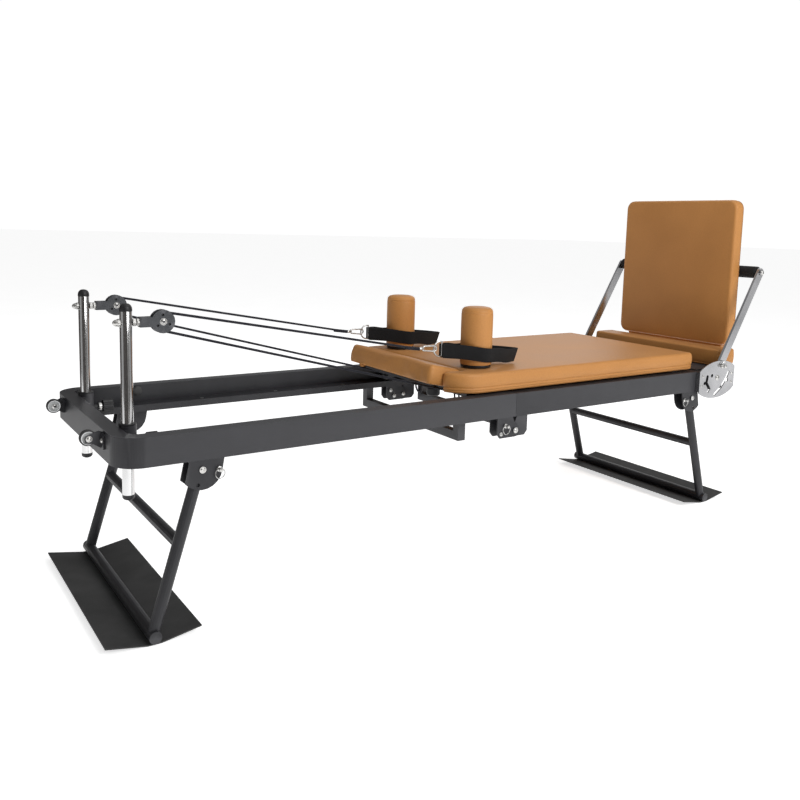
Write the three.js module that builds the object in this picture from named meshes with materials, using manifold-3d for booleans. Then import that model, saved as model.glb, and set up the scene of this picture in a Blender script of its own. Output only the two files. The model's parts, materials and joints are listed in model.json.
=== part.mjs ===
// A folding pilates reformer: a two-part rail frame on folding legs, a sliding carriage with ropes and
// pulleys, and a footbar with a padded jump board. Millimetres, +Z up, +X from pulley end to footbar end.
// Shapes are drawn with X = 0 at the pulley end of the rails; the group that holds them centres them.
import * as THREE from 'three';
import { mergeVertices } from 'three/addons/utils/BufferGeometryUtils.js';
import Module from 'manifold-3d';

const wasm = await Module();
wasm.setup();

// ---- driving dimensions ----
const GAP = 0.3;                    // running gap between touching pieces
const RAIL_LENGTH = 2040;
const RAIL_OUTER = 300;             // half the frame's width
const RAIL_WIDE = 36;
const RAIL_LOW = 395;
const RAIL_TOP = 460;
const RAIL_CORNER = 60;
const RAIL_INNER = RAIL_OUTER - RAIL_WIDE;
const RAIL_MID = RAIL_OUTER - RAIL_WIDE / 2;
const SEAM_X = 1076;                // where the two halves butt together
const FOLD_Z = 356;                 // height of the fold hinge
const EYE_RADIUS = 18;
const EAR_REACH = 17;               // half the distance between a front bracket's outer faces
const EAR_THICK = 4;
const TRACK_INNER = 220;
const TRACK_TOP = 413;
const TRACK_END = 1940;

const LEG_PIVOT_X = 180;            // from the pulley end; the footbar end mirrors it
const REAR_LEG_PIVOT_X = 1845;
const LEG_PIVOT_Z = 374;
const LEG_SPREAD = 106;             // how far the foot bar stands out from the pivot
const LEG_RADIUS = 13.5;
const FOOT_BAR_Z = 17.5;
const FOOT_BAR_RADIUS = 14;
const FOOT_BAR_HALF = 303;
const CROSSBAR_Z = 212;
const CROSSBAR_RADIUS = 13;
const BRACKET_RADIUS = 46;
const BRACKET_REACH = 17.5;         // half the distance between a bracket's outer faces
const BRACKET_THICK = 3.2;
const PLUNGER_REACH = 38;           // from the leg pivot to its lock plunger
const LOCK_HOLE_REACH = 35;

const MAT_HALF = 104;
const MAT_RISE = 16;
const MAT_STRIP = 15;
const MAT_THICK = 3;
const MAT_HALF_LENGTH = 297;

const POST_X = 52;
const POST_Y = 191;
const POST_RADIUS = 13;
const POST_LOW = 302;
const POST_TOP = 717;
const SLEEVE_RADIUS = 19;
const SLEEVE_TOP = 465;
const KNOB_Z = 427;
const KNOB_RADIUS = 16.5;

const PULLEY_X = 130;
const PULLEY_Z = 688;
const CHEEK_RADIUS = 26;
const SHEAVE_RADIUS = 22;
const GROOVE_RADIUS = 17;
const ROPE_RADIUS = 3;

const WHEEL_X = -28;
const WHEEL_Y = 176;
const WHEEL_Z = 442;
const WHEEL_RADIUS = 17.5;

const PAD_FRONT = 875;
const PAD_REAR = 1862;
const PAD_HALF = 283;
const PAD_LOW = 466;
const PAD_TOP = 524;
const PAD_FRONT_CORNER = 90;
const NOTCH_REAR = 955;             // the headrest's notch in the front edge of the pad
const NOTCH_HALF = 215;
const HEADREST_DEEP = 106;
const HEADREST_HALF = 212;
const HEADREST_PIVOT_X = 951;       // the headrest tips about its upper rear edge
const HEADREST_TILT = 13;           // degrees above level
const REST_X = 1012;
const REST_Y = 193;
const REST_RADIUS = 44.5;
const REST_TOP = 693;
const SPARE_SOCKET_X = 1138;
const PEG_RADIUS = 9;
const STRAP_LOW = 542;
const STRAP_SLOPE = 6.5;            // degrees; the ring end hangs higher than the tip
const STRAP_WIDE = 42;
const STRAP_THICK = 3;
const STRAP_RING_X = 893;
const STRAP_TIP_X = 1148;

const ROLLER_X = [990, 1810];
const ROLLER_Y = 240;
const ROLLER_RADIUS = 20;
const ROLLER_Z = TRACK_TOP + GAP + ROLLER_RADIUS;
const CARRIAGE_BEAM = 24;
const BEAM_LOW = 430;
const BEAM_TOP = PAD_LOW - GAP;
const CARRIAGE_FRONT = 1005;
const CARRIAGE_REAR = 1850;
const SIDE_BEAM_FRONT = 968;
const KNOB_STEM_X = 975;
const KNOB_STEM_Y = -46;
const SPRING_TAB_X = 1400;

const SPRING_Y = 80;
const SPRING_Z = 417;
const SPRING_RADIUS = 10;
const YOKE_X = 1420;
const SPRING_BAR_X = 1955;

const PLATE_X = 1949;               // footbar pivot and centre of the lock plate
const PLATE_Z = 431;
const PIVOT_Z = 437;
const PLATE_HALF = 92;
const ARM_INNER = 303;
const ARM_THICK = 8;
const ARM_WIDE = 30;
const PLATE_INNER = 313.5;
const PLATE_THICK = 3;
const GRIP_X = 2158;
const GRIP_Z = 785;
const GRIP_RADIUS = 20;
const BAR_RADIUS = 12.5;

const FOOT_PAD_FRONT = 1998;
const FOOT_PAD_REAR = 2088;
const FOOT_PAD_TOP = 522;
const SHELF_TOP = RAIL_TOP + 3;
const BOARD_FRONT = 2091;
const BOARD_BACK = 2137;
const BOARD_LOW = 526;
const BOARD_TOP = 1030;
const BOARD_HALF = 243;

const HOOK_THICK = 4;
const HOOK_REAR = GRIP_X + GRIP_RADIUS + 1 + HOOK_THICK;

const FRONT_MOST = WHEEL_X - WHEEL_RADIUS;
const REAR_MOST = HOOK_REAR;
const MIDDLE_X = (FRONT_MOST + REAR_MOST) / 2;

// ---- materials ----
function material(color, roughness, metalness) {
  return new THREE.MeshStandardMaterial({ color, roughness, metalness });
}
const charcoal = material(0x2f3034, 0.55, 0.25);
const chrome = material(0xdadcdf, 0.12, 1.0);
const zinc = material(0xc3c5c7, 0.35, 0.9);
const blackPlastic = material(0x17181a, 0.5, 0.0);
const greyHub = material(0xcfd0cf, 0.45, 0.0);
const rubber = material(0x232427, 0.85, 0.0);
const foam = material(0x1b1b1d, 0.9, 0.0);
const leather = material(0xb87c45, 0.5, 0.0);
const webbing = material(0x141415, 0.95, 0.0);
const cord = material(0x1c1d22, 0.8, 0.0);

// ---- solids ----
function solid(geometry) {
  const bare = geometry.clone();
  bare.deleteAttribute('normal');
  bare.deleteAttribute('uv');
  const merged = mergeVertices(bare, 1e-4);
  return new wasm.Manifold(new wasm.Mesh({
    numProp: 3,
    vertProperties: new Float32Array(merged.attributes.position.array),
    triVerts: new Uint32Array(merged.index.array),
  }));
}

function geometryOf(manifold) {
  const mesh = manifold.getMesh();
  const geometry = new THREE.BufferGeometry();
  geometry.setAttribute('position', new THREE.BufferAttribute(new Float32Array(mesh.vertProperties), 3));
  geometry.setIndex(new THREE.BufferAttribute(new Uint32Array(mesh.triVerts), 1));
  geometry.computeVertexNormals();
  return geometry;
}

function union(...pieces) {
  return pieces.reduce((whole, piece) => whole.add(piece));
}

function box(x0, x1, y0, y1, z0, z1) {
  const geometry = new THREE.BoxGeometry(x1 - x0, y1 - y0, z1 - z0);
  geometry.translate((x0 + x1) / 2, (y0 + y1) / 2, (z0 + z1) / 2);
  return solid(geometry);
}

function rodBetween(start, end, radius, segments = 16) {
  const from = new THREE.Vector3(...start);
  const along = new THREE.Vector3(...end).sub(from);
  const geometry = new THREE.CylinderGeometry(radius, radius, along.length(), segments);
  geometry.translate(0, along.length() / 2, 0);
  geometry.applyQuaternion(new THREE.Quaternion().setFromUnitVectors(
    new THREE.Vector3(0, 1, 0), along.clone().normalize()));
  geometry.translate(from.x, from.y, from.z);
  return solid(geometry);
}

function lathe(profile, segments = 20) {
  return new THREE.LatheGeometry(profile.map(([r, h]) => new THREE.Vector2(r, h)), segments);
}

// A lathe's own axis is Y; these turn it to stand along Z or lie along X.
function standing(geometry, x, y, z) {
  geometry.rotateX(Math.PI / 2);
  geometry.translate(x, y, z);
  return solid(geometry);
}

function lyingAlongX(geometry, x, y, z) {
  geometry.rotateZ(-Math.PI / 2);
  geometry.translate(x, y, z);
  return solid(geometry);
}

function outline(points) {
  return new THREE.Shape(points.map(([u, v]) => new THREE.Vector2(u, v)));
}

function roundedRectangle(u0, u1, v0, v1, radii) {
  const [r00, r10, r11, r01] = radii;
  const shape = new THREE.Shape();
  shape.moveTo(u0 + r00, v0);
  shape.lineTo(u1 - r10, v0);
  shape.absarc(u1 - r10, v0 + r10, r10, -Math.PI / 2, 0);
  shape.lineTo(u1, v1 - r11);
  shape.absarc(u1 - r11, v1 - r11, r11, 0, Math.PI / 2);
  shape.lineTo(u0 + r01, v1);
  shape.absarc(u0 + r01, v1 - r01, r01, Math.PI / 2, Math.PI);
  shape.lineTo(u0, v0 + r00);
  shape.absarc(u0 + r00, v0 + r00, r00, Math.PI, Math.PI * 1.5);
  return shape;
}

// Extrusions of an outline drawn in XY, in XZ and in YZ.
function upright(shape, z0, z1, curveSegments = 8) {
  const geometry = new THREE.ExtrudeGeometry(shape, { depth: z1 - z0, bevelEnabled: false, curveSegments });
  geometry.translate(0, 0, z0);
  return solid(geometry);
}

function sideways(shape, y0, y1, curveSegments = 8) {
  const geometry = new THREE.ExtrudeGeometry(shape, { depth: y1 - y0, bevelEnabled: false, curveSegments });
  geometry.rotateX(Math.PI / 2);
  geometry.translate(0, y1, 0);
  return solid(geometry);
}

const YZ_TO_X = new THREE.Matrix4().set(0, 0, 1, 0, 1, 0, 0, 0, 0, 1, 0, 0, 0, 0, 0, 1);

function lengthways(shape, x0, x1) {
  const geometry = new THREE.ExtrudeGeometry(shape, { depth: x1 - x0, bevelEnabled: false });
  geometry.applyMatrix4(YZ_TO_X);
  geometry.translate(x0, 0, 0);
  return solid(geometry);
}

// A cushion: an outline drawn smaller by its edge radius and bevelled back out to full size.
function cushion(makeShape, edge, thick) {
  const geometry = new THREE.ExtrudeGeometry(makeShape(edge), {
    depth: thick - 2 * edge,
    bevelEnabled: true,
    bevelThickness: edge,
    bevelSize: edge,
    bevelSegments: 2,
    curveSegments: 5,
  });
  geometry.translate(0, 0, edge);
  return geometry;
}

const SIDES = [['near', -1], ['far', 1]];

// The Y range between two distances from the middle, on one side.
function span(side, a, b) {
  return [side * a, side * b].sort((p, q) => p - q);
}

// ---- the assembly ----
const reformer = new THREE.Group();
reformer.position.x = -MIDDLE_X;

function add(name, piece, look) {
  const mesh = new THREE.Mesh(geometryOf(piece), look);
  mesh.name = name;
  reformer.add(mesh);
}

// ---- frame ----
function railRing() {
  const corner = [RAIL_CORNER, RAIL_CORNER, RAIL_CORNER, RAIL_CORNER];
  const inner = RAIL_CORNER - RAIL_WIDE;
  const outside = upright(
    roundedRectangle(0, RAIL_LENGTH, -RAIL_OUTER, RAIL_OUTER, corner), RAIL_LOW, RAIL_TOP);
  const inside = upright(roundedRectangle(
    RAIL_WIDE, RAIL_LENGTH - RAIL_WIDE, -RAIL_INNER, RAIL_INNER, [inner, inner, inner, inner]),
  RAIL_LOW - 5, RAIL_TOP + 5);
  return outside.subtract(inside);
}

function halfFrame(x0, x1) {
  return railRing().intersect(box(x0, x1, -RAIL_OUTER - 5, RAIL_OUTER + 5, RAIL_LOW - 5, RAIL_TOP + 5));
}

function tracks(x0, x1) {
  return SIDES.map(([, side]) => (
    box(x0, x1, ...span(side, TRACK_INNER, RAIL_INNER + 1), RAIL_LOW, TRACK_TOP)));
}

function wheelBracket(side) {
  const inner = WHEEL_Y + 10;
  const ear = sideways(outline([
    [WHEEL_X - 8, WHEEL_Z - 8], [WHEEL_X + 8, WHEEL_Z - 12], [-4, WHEEL_Z - 22], [0.5, WHEEL_Z - 22],
    [0.5, WHEEL_Z + 12], [-8, WHEEL_Z + 16], [WHEEL_X + 4, WHEEL_Z + 10], [WHEEL_X - 8, WHEEL_Z + 6],
  ]), ...span(side, inner, inner + 4));
  const foot = box(-4, 0.5, ...span(side, inner, inner + 22), WHEEL_Z - 22, WHEEL_Z + 12);
  const axle = rodBetween(
    [WHEEL_X, side * (WHEEL_Y - 9), WHEEL_Z], [WHEEL_X, side * (inner + 1), WHEEL_Z], 3.5, 12);
  return union(ear, foot, axle);
}

function frontFrame() {
  const seam = SEAM_X - GAP;
  return union(halfFrame(-10, seam), ...tracks(30, seam), wheelBracket(-1), wheelBracket(1));
}

function rearFrame() {
  const seam = SEAM_X + GAP;
  const springBar = box(SPRING_BAR_X, SPRING_BAR_X + 20, -RAIL_INNER - 1, RAIL_INNER + 1, 405, 430);
  const shelf = box(1885, FOOT_PAD_REAR, -PAD_HALF + 3, PAD_HALF - 3, RAIL_TOP - 0.5, SHELF_TOP);
  return union(halfFrame(seam, RAIL_LENGTH + 10), ...tracks(seam, TRACK_END), springBar, shelf);
}

function crossMember(x) {
  const outer = 252;
  const drop = 61;
  const bar = 24;
  const low = RAIL_LOW - drop;
  const high = RAIL_LOW - GAP;
  const shape = outline([
    [-outer, high], [-outer, low], [outer, low], [outer, high],
    [outer - bar, high], [outer - bar, low + bar], [-outer + bar, low + bar], [-outer + bar, high],
  ]);
  return lengthways(shape, x - bar / 2, x + bar / 2);
}

// An ear that hangs below its rail and ends in a round eye on the fold hinge.
function earShape(backX) {
  const toward = Math.sign(SEAM_X - backX);
  const points = [
    [backX, RAIL_LOW - GAP], [backX, FOLD_Z - 6], [backX + toward * 10, FOLD_Z - EYE_RADIUS],
  ];
  for (let step = 0; step <= 10; step += 1) {
    const angle = -Math.PI / 2 + (step / 10) * Math.PI;
    points.push([SEAM_X + toward * EYE_RADIUS * Math.cos(angle), FOLD_Z + EYE_RADIUS * Math.sin(angle)]);
  }
  points.push([SEAM_X - toward * 10, RAIL_LOW - GAP]);
  return outline(toward > 0 ? points : points.reverse());
}

function foldBracketFront(side) {
  const middle = side * RAIL_MID;
  const ears = [-1, 1].map((ear) => (
    sideways(earShape(1012), ...span(ear, EAR_REACH - EAR_THICK, EAR_REACH)).translate([0, middle, 0])));
  const web = box(1012, 1050, middle - EAR_REACH, middle + EAR_REACH, RAIL_LOW - 4, RAIL_LOW - GAP);
  const half = EAR_REACH + 3;
  const pin = rodBetween([SEAM_X, middle - half, FOLD_Z], [SEAM_X, middle + half, FOLD_Z], 4, 14);
  return union(...ears, web, pin);
}

function foldBracketRear(side) {
  const middle = side * RAIL_MID;
  const half = EAR_REACH - EAR_THICK - GAP;
  const tongue = sideways(earShape(1124), middle - half, middle + half);
  const bore = rodBetween([SEAM_X, middle - 40, FOLD_Z], [SEAM_X, middle + 40, FOLD_Z], 4 + GAP, 14);
  return tongue.subtract(bore);
}

// A pull plunger: barrel, waist and head along Y, starting at face and pointing outward.
function pullPin(x, side, z, face, radius = 4.5) {
  const geometry = lathe([
    [0, 0], [radius + 2, 0], [radius + 2, 3], [radius - 1, 4], [radius - 1, 8], [radius, 9],
    [radius, 14], [0, 15],
  ], 10);
  geometry.rotateX(side > 0 ? 0 : Math.PI);
  geometry.translate(x, side * face, z);
  return solid(geometry);
}

// ---- legs ----
function legBracket(pivotX, inward, side) {
  const middle = side * RAIL_MID;
  const high = RAIL_LOW - GAP;
  const points = [
    [pivotX - inward * 28, high], [pivotX - inward * 38, LEG_PIVOT_Z - 28],
    [pivotX - inward * 29, LEG_PIVOT_Z - 36],
  ];
  for (let step = 0; step <= 6; step += 1) {
    const angle = -Math.PI * 0.6 + (step / 6) * Math.PI * 0.55;
    points.push([
      pivotX + inward * BRACKET_RADIUS * Math.cos(angle), LEG_PIVOT_Z + BRACKET_RADIUS * Math.sin(angle)]);
  }
  points.push([pivotX + inward * 50, high]);
  const shape = outline(inward > 0 ? points : points.reverse());
  const cheeks = [-1, 1].map((cheek) => (
    sideways(shape, ...span(cheek, BRACKET_REACH - BRACKET_THICK, BRACKET_REACH)).translate([0, middle, 0])));
  const [webStart, webEnd] = span(inward, inward * pivotX - 28, inward * pivotX + 50);
  const web = box(webStart, webEnd, middle - BRACKET_REACH, middle + BRACKET_REACH, high - 2.8, high);
  const lean = Math.atan2(LEG_SPREAD, LEG_PIVOT_Z - FOOT_BAR_Z);
  const holeX = pivotX - inward * LOCK_HOLE_REACH * Math.sin(lean);
  const holeZ = LEG_PIVOT_Z - LOCK_HOLE_REACH * Math.cos(lean);
  const hole = rodBetween([holeX, middle - 30, holeZ], [holeX, middle + 30, holeZ], 4.5, 8);
  const half = BRACKET_REACH + 3;
  const bolt = rodBetween([pivotX, middle - half, LEG_PIVOT_Z], [pivotX, middle + half, LEG_PIVOT_Z], 4, 12);
  return union(union(...cheeks, web).subtract(hole), bolt);
}

function legFrame(pivotX, inward) {
  const footX = pivotX - inward * LEG_SPREAD;
  const length = Math.hypot(LEG_SPREAD, LEG_PIVOT_Z - FOOT_BAR_Z);
  const along = [inward * LEG_SPREAD / length, (LEG_PIVOT_Z - FOOT_BAR_Z) / length];
  const headroom = 11;
  const crossShare = (CROSSBAR_Z - FOOT_BAR_Z) / (LEG_PIVOT_Z - FOOT_BAR_Z);
  const crossX = footX + (pivotX - footX) * crossShare;
  const tubes = SIDES.map(([, side]) => {
    const y = side * RAIL_MID;
    const tube = rodBetween(
      [footX, y, FOOT_BAR_Z],
      [pivotX + along[0] * headroom, y, LEG_PIVOT_Z + along[1] * headroom], LEG_RADIUS);
    const bore = rodBetween([pivotX, y - 40, LEG_PIVOT_Z], [pivotX, y + 40, LEG_PIVOT_Z], 4 + GAP, 14);
    return tube.subtract(bore);
  });
  const crossbar = rodBetween(
    [crossX, -RAIL_MID, CROSSBAR_Z], [crossX, RAIL_MID, CROSSBAR_Z], CROSSBAR_RADIUS);
  const footBar = rodBetween(
    [footX, -FOOT_BAR_HALF, FOOT_BAR_Z], [footX, FOOT_BAR_HALF, FOOT_BAR_Z], FOOT_BAR_RADIUS);
  return union(...tubes, crossbar, footBar);
}

function floorMat(footX) {
  return sideways(outline([
    [footX - MAT_HALF, MAT_RISE], [footX - MAT_STRIP, 0],
    [footX + MAT_STRIP, 0], [footX + MAT_HALF, MAT_RISE],
    [footX + MAT_HALF, MAT_RISE + MAT_THICK], [footX + MAT_STRIP, MAT_THICK],
    [footX - MAT_STRIP, MAT_THICK], [footX - MAT_HALF, MAT_RISE + MAT_THICK],
  ]), -MAT_HALF_LENGTH, MAT_HALF_LENGTH);
}

// ---- pulley posts ----
function post(side) {
  const dome = [[0, POST_TOP + 13], [6.5, POST_TOP + 11.3], [11, POST_TOP + 7], [POST_RADIUS, POST_TOP]];
  const foot = [[POST_RADIUS, POST_LOW + 3], [11, POST_LOW - 2], [6, POST_LOW - 5], [0, POST_LOW - 6]];
  const tube = standing(lathe([...dome, ...foot].reverse()), POST_X, side * POST_Y, 0);
  const y = side * POST_Y;
  const bore = rodBetween([POST_X - 40, y, PULLEY_Z], [POST_X + 40, y, PULLEY_Z], 4 + GAP, 12);
  return tube.subtract(bore);
}

function postSleeve(side) {
  const y = side * POST_Y;
  const rail = RAIL_WIDE + GAP;
  const barrel = rodBetween([POST_X, y, RAIL_LOW + 2], [POST_X, y, SLEEVE_TOP], SLEEVE_RADIUS, 24);
  const seat = box(rail, POST_X, y - SLEEVE_RADIUS, y + SLEEVE_RADIUS, RAIL_LOW + 2, RAIL_TOP - 2);
  const railSide = box(0, rail, y - 40, y + 40, RAIL_LOW - 5, SLEEVE_TOP + 5);
  const bore = rodBetween([POST_X, y, 300], [POST_X, y, 600], POST_RADIUS + GAP, 24);
  const thread = rodBetween([POST_X, y, KNOB_Z], [POST_X + 40, y, KNOB_Z], 5 + GAP, 12);
  return union(barrel, seat).subtract(railSide).subtract(bore).subtract(thread);
}

function clampKnob(side) {
  const stemEnd = POST_X + POST_RADIUS + 1;
  const head = POST_X + 41;
  const lobes = 10;
  const rim = new THREE.Shape();
  for (let step = 0; step < lobes * 4; step += 1) {
    const angle = (step / (lobes * 4)) * Math.PI * 2;
    const radius = KNOB_RADIUS - (step % 4 < 2 ? 0 : 1.8);
    const point = [side * POST_Y + radius * Math.cos(angle), KNOB_Z + radius * Math.sin(angle)];
    if (step === 0) rim.moveTo(...point);
    else rim.lineTo(...point);
  }
  const grip = lengthways(rim, head, head + 24);
  const collar = rodBetween([head - 12, side * POST_Y, KNOB_Z], [head + 1, side * POST_Y, KNOB_Z], 8, 16);
  const stem = rodBetween([stemEnd, side * POST_Y, KNOB_Z], [head, side * POST_Y, KNOB_Z], 5, 12);
  return union(grip, collar, stem);
}

function pulleyBlock(side) {
  const y = side * POST_Y;
  const cheeks = [-1, 1].map((cheek) => {
    const [inner, outer] = span(cheek, 7.4, 10).map((offset) => y + offset);
    const disc = rodBetween([PULLEY_X, inner, PULLEY_Z], [PULLEY_X, outer, PULLEY_Z], CHEEK_RADIUS, 20);
    const strap = box(PULLEY_X - 44, PULLEY_X - 10, inner, outer, PULLEY_Z - 11, PULLEY_Z + 11);
    const vents = [95, 215, 335].map((degrees) => {
      const angle = THREE.MathUtils.degToRad(degrees);
      const x = PULLEY_X + 15 * Math.cos(angle);
      const z = PULLEY_Z + 15 * Math.sin(angle);
      return rodBetween([x, inner - 5, z], [x, outer + 5, z], 3.2, 8);
    });
    return union(disc, strap).subtract(union(...vents));
  });
  const yoke = box(PULLEY_X - 50, PULLEY_X - 36, y - 10, y + 10, PULLEY_Z - 11, PULLEY_Z + 11);
  const stud = rodBetween([POST_X - 24, y, PULLEY_Z], [PULLEY_X - 40, y, PULLEY_Z], 4, 10);
  const nuts = [POST_X - POST_RADIUS - 8, POST_X + POST_RADIUS + 1].map((x) => (
    rodBetween([x, y, PULLEY_Z], [x + 7, y, PULLEY_Z], 7, 6)));
  const dome = lyingAlongX(
    lathe([[0, -8], [3.5, -6.8], [5.6, -3.8], [6.4, 0], [0, 0]], 10), POST_X - POST_RADIUS - 7, y, PULLEY_Z);
  const pin = rodBetween([PULLEY_X, y - 12, PULLEY_Z], [PULLEY_X, y + 12, PULLEY_Z], 4, 12);
  return union(...cheeks, yoke, stud, ...nuts, dome, pin);
}

function sheave(side) {
  const half = 6.5;
  const geometry = lathe([
    [4 + GAP, -half], [SHEAVE_RADIUS, -half], [SHEAVE_RADIUS, -half + 0.8], [GROOVE_RADIUS, -3.6],
    [GROOVE_RADIUS, 3.6], [SHEAVE_RADIUS, half - 0.8], [SHEAVE_RADIUS, half], [4 + GAP, half],
    [4 + GAP, -half],
  ]);
  geometry.translate(PULLEY_X, side * POST_Y, PULLEY_Z);
  return solid(geometry);
}

function transportWheel(side) {
  const half = 7;
  const geometry = lathe([
    [3.5 + GAP, -half], [10, -half], [12, -half + 1.5], [14, -half], [WHEEL_RADIUS - 1.5, -half],
    [WHEEL_RADIUS, -half + 2], [WHEEL_RADIUS, half - 2], [WHEEL_RADIUS - 1.5, half], [3.5 + GAP, half],
    [3.5 + GAP, -half],
  ]);
  geometry.translate(WHEEL_X, side * WHEEL_Y, WHEEL_Z);
  return solid(geometry);
}

// ---- carriage ----
function carriageFrame() {
  const sideBeams = SIDES.map(([, side]) => (
    box(SIDE_BEAM_FRONT, CARRIAGE_REAR, ...span(side, 190, 190 + CARRIAGE_BEAM), BEAM_LOW, BEAM_TOP)));
  const crossBeams = [CARRIAGE_FRONT, SPRING_TAB_X, CARRIAGE_REAR - 30].map((x) => (
    box(x, x + 30, -191, 191, BEAM_LOW, BEAM_TOP)));
  const axles = ROLLER_X.flatMap((x) => SIDES.map(([, side]) => (
    rodBetween([x, side * 205, ROLLER_Z], [x, side * 257, ROLLER_Z], 5, 14))));
  const springTab = box(SPRING_TAB_X, SPRING_TAB_X + 5, -95, 95, 404, BEAM_LOW + 1);
  const knobPlate = box(NOTCH_REAR + 2, CARRIAGE_FRONT + 1, -110, 110, BEAM_TOP - 6, BEAM_TOP);
  const knobHole = rodBetween([KNOB_STEM_X, KNOB_STEM_Y, 440], [KNOB_STEM_X, KNOB_STEM_Y, 470], 5 + GAP, 12);
  return union(...sideBeams, ...crossBeams, ...axles, springTab, knobPlate)
    .subtract(union(knobHole, ...pegHoles([REST_X], 440)));
}

function pegHoles(stations, low) {
  return stations.flatMap((x) => SIDES.map(([, side]) => (
    rodBetween([x, side * REST_Y, low], [x, side * REST_Y, PAD_TOP + 5], PEG_RADIUS + 0.6, 14))));
}

function headrestKnob() {
  const low = 418;
  const geometry = lathe([
    [0, low], [17, low], [20, low + 3], [20, low + 21], [17, low + 24], [8, low + 25], [8, low + 34],
    [5, low + 34], [5, BEAM_TOP - GAP], [0, BEAM_TOP - GAP],
  ], 20);
  return standing(geometry, KNOB_STEM_X, KNOB_STEM_Y, 0);
}

function roller(x, side) {
  const half = 12;
  const geometry = lathe([
    [5 + GAP, -half], [ROLLER_RADIUS - 1, -half], [ROLLER_RADIUS, -half + 1.5], [ROLLER_RADIUS, half - 1.5],
    [ROLLER_RADIUS - 1, half], [5 + GAP, half], [5 + GAP, -half],
  ]);
  geometry.translate(x, side * ROLLER_Y, ROLLER_Z);
  return solid(geometry);
}

// The pad's outline drawn inset by edge: round front corners with a square notch for the headrest between.
function padOutline(edge) {
  const front = PAD_FRONT_CORNER - edge;
  const rear = 15 - edge;
  const x0 = PAD_FRONT + edge;
  const x1 = PAD_REAR - edge;
  const half = PAD_HALF - edge;
  const notch = NOTCH_HALF + edge;
  const meet = Math.acos((notch - half + front) / front);
  const shape = new THREE.Shape();
  shape.moveTo(x1 - rear, -half);
  shape.absarc(x1 - rear, -half + rear, rear, -Math.PI / 2, 0);
  shape.absarc(x1 - rear, half - rear, rear, 0, Math.PI / 2);
  shape.absarc(x0 + front, half - front, front, Math.PI / 2, Math.PI / 2 + meet);
  shape.lineTo(NOTCH_REAR + edge, notch);
  shape.lineTo(NOTCH_REAR + edge, -notch);
  shape.absarc(x0 + front, -half + front, front, -Math.PI / 2 - meet, -Math.PI / 2);
  return shape;
}

function carriagePad() {
  const geometry = cushion(padOutline, 7, PAD_TOP - PAD_LOW);
  geometry.translate(0, 0, PAD_LOW);
  return solid(geometry).subtract(union(...pegHoles([REST_X, SPARE_SOCKET_X], PAD_LOW - 5)));
}

// A piece drawn level, then tipped so that its pulley end rises by the given degrees about (x, z).
function turned(piece, x, z, degrees) {
  return piece.translate([-x, 0, -z]).rotate([0, degrees, 0]).translate([x, 0, z]);
}

function tipped(piece) {
  return turned(piece, HEADREST_PIVOT_X, PAD_TOP, HEADREST_TILT);
}

function headrestPad() {
  const rear = HEADREST_PIVOT_X;
  const geometry = cushion((edge) => roundedRectangle(
    rear - HEADREST_DEEP + edge, rear - edge, -HEADREST_HALF + edge, HEADREST_HALF - edge,
    [10, 4, 4, 10]), 7, PAD_TOP - PAD_LOW);
  geometry.translate(0, 0, PAD_LOW);
  return tipped(solid(geometry));
}

function headrestPlate() {
  const rear = HEADREST_PIVOT_X - 3;
  return tipped(box(rear - HEADREST_DEEP + 8, rear, -115, 115, PAD_LOW - 6, PAD_LOW - GAP));
}

function shoulderRest(side) {
  const low = PAD_TOP + GAP;
  const profile = [
    [0, 462], [PEG_RADIUS, 462], [PEG_RADIUS, low], [36, low], [36, low + 6], [REST_RADIUS - 1, low + 6],
    [REST_RADIUS, low + 9], [REST_RADIUS, REST_TOP - 12], [REST_RADIUS - 4, REST_TOP - 4],
    [REST_RADIUS - 12, REST_TOP - 1], [0, REST_TOP],
  ];
  return standing(lathe(profile), REST_X, side * REST_Y, 0);
}

// Half of a loop round a shoulder rest, seen from above: ring end, round the rest, out to the tip.
function strapSide(grow) {
  const radius = REST_RADIUS + 5 + grow;
  const ends = [[STRAP_RING_X - REST_X, 3 + grow], [STRAP_TIP_X - REST_X + grow, 4 + grow]];
  const tangents = [tangentAngle(...ends[0], radius, -1), tangentAngle(...ends[1], radius, 1)];
  const arc = [0, 0.25, 0.5, 0.75, 1].map((share) => {
    const angle = tangents[0] + (tangents[1] - tangents[0]) * share;
    return [radius * Math.cos(angle), radius * Math.sin(angle)];
  });
  return [ends[0], ...arc, ends[1]];
}

function strapLoop(side) {
  const ring = (grow) => {
    const upper = strapSide(grow);
    const lower = upper.map(([x, y]) => [x, -y]).reverse();
    return outline([...upper, ...lower].reverse().map(([x, y]) => [REST_X + x, side * REST_Y + y]));
  };
  const low = STRAP_LOW;
  const high = STRAP_LOW + STRAP_WIDE;
  const loop = upright(ring(STRAP_THICK), low, high).subtract(upright(ring(0), low - 5, high + 5));
  return turned(loop, REST_X, (low + high) / 2, STRAP_SLOPE);
}

// ---- ropes ----
// The angle, seen from a circle's centre, at which a line from the point (u, v) away touches the circle.
function tangentAngle(u, v, radius, way) {
  return Math.atan2(v, u) + way * Math.acos(radius / Math.hypot(u, v));
}

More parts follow.
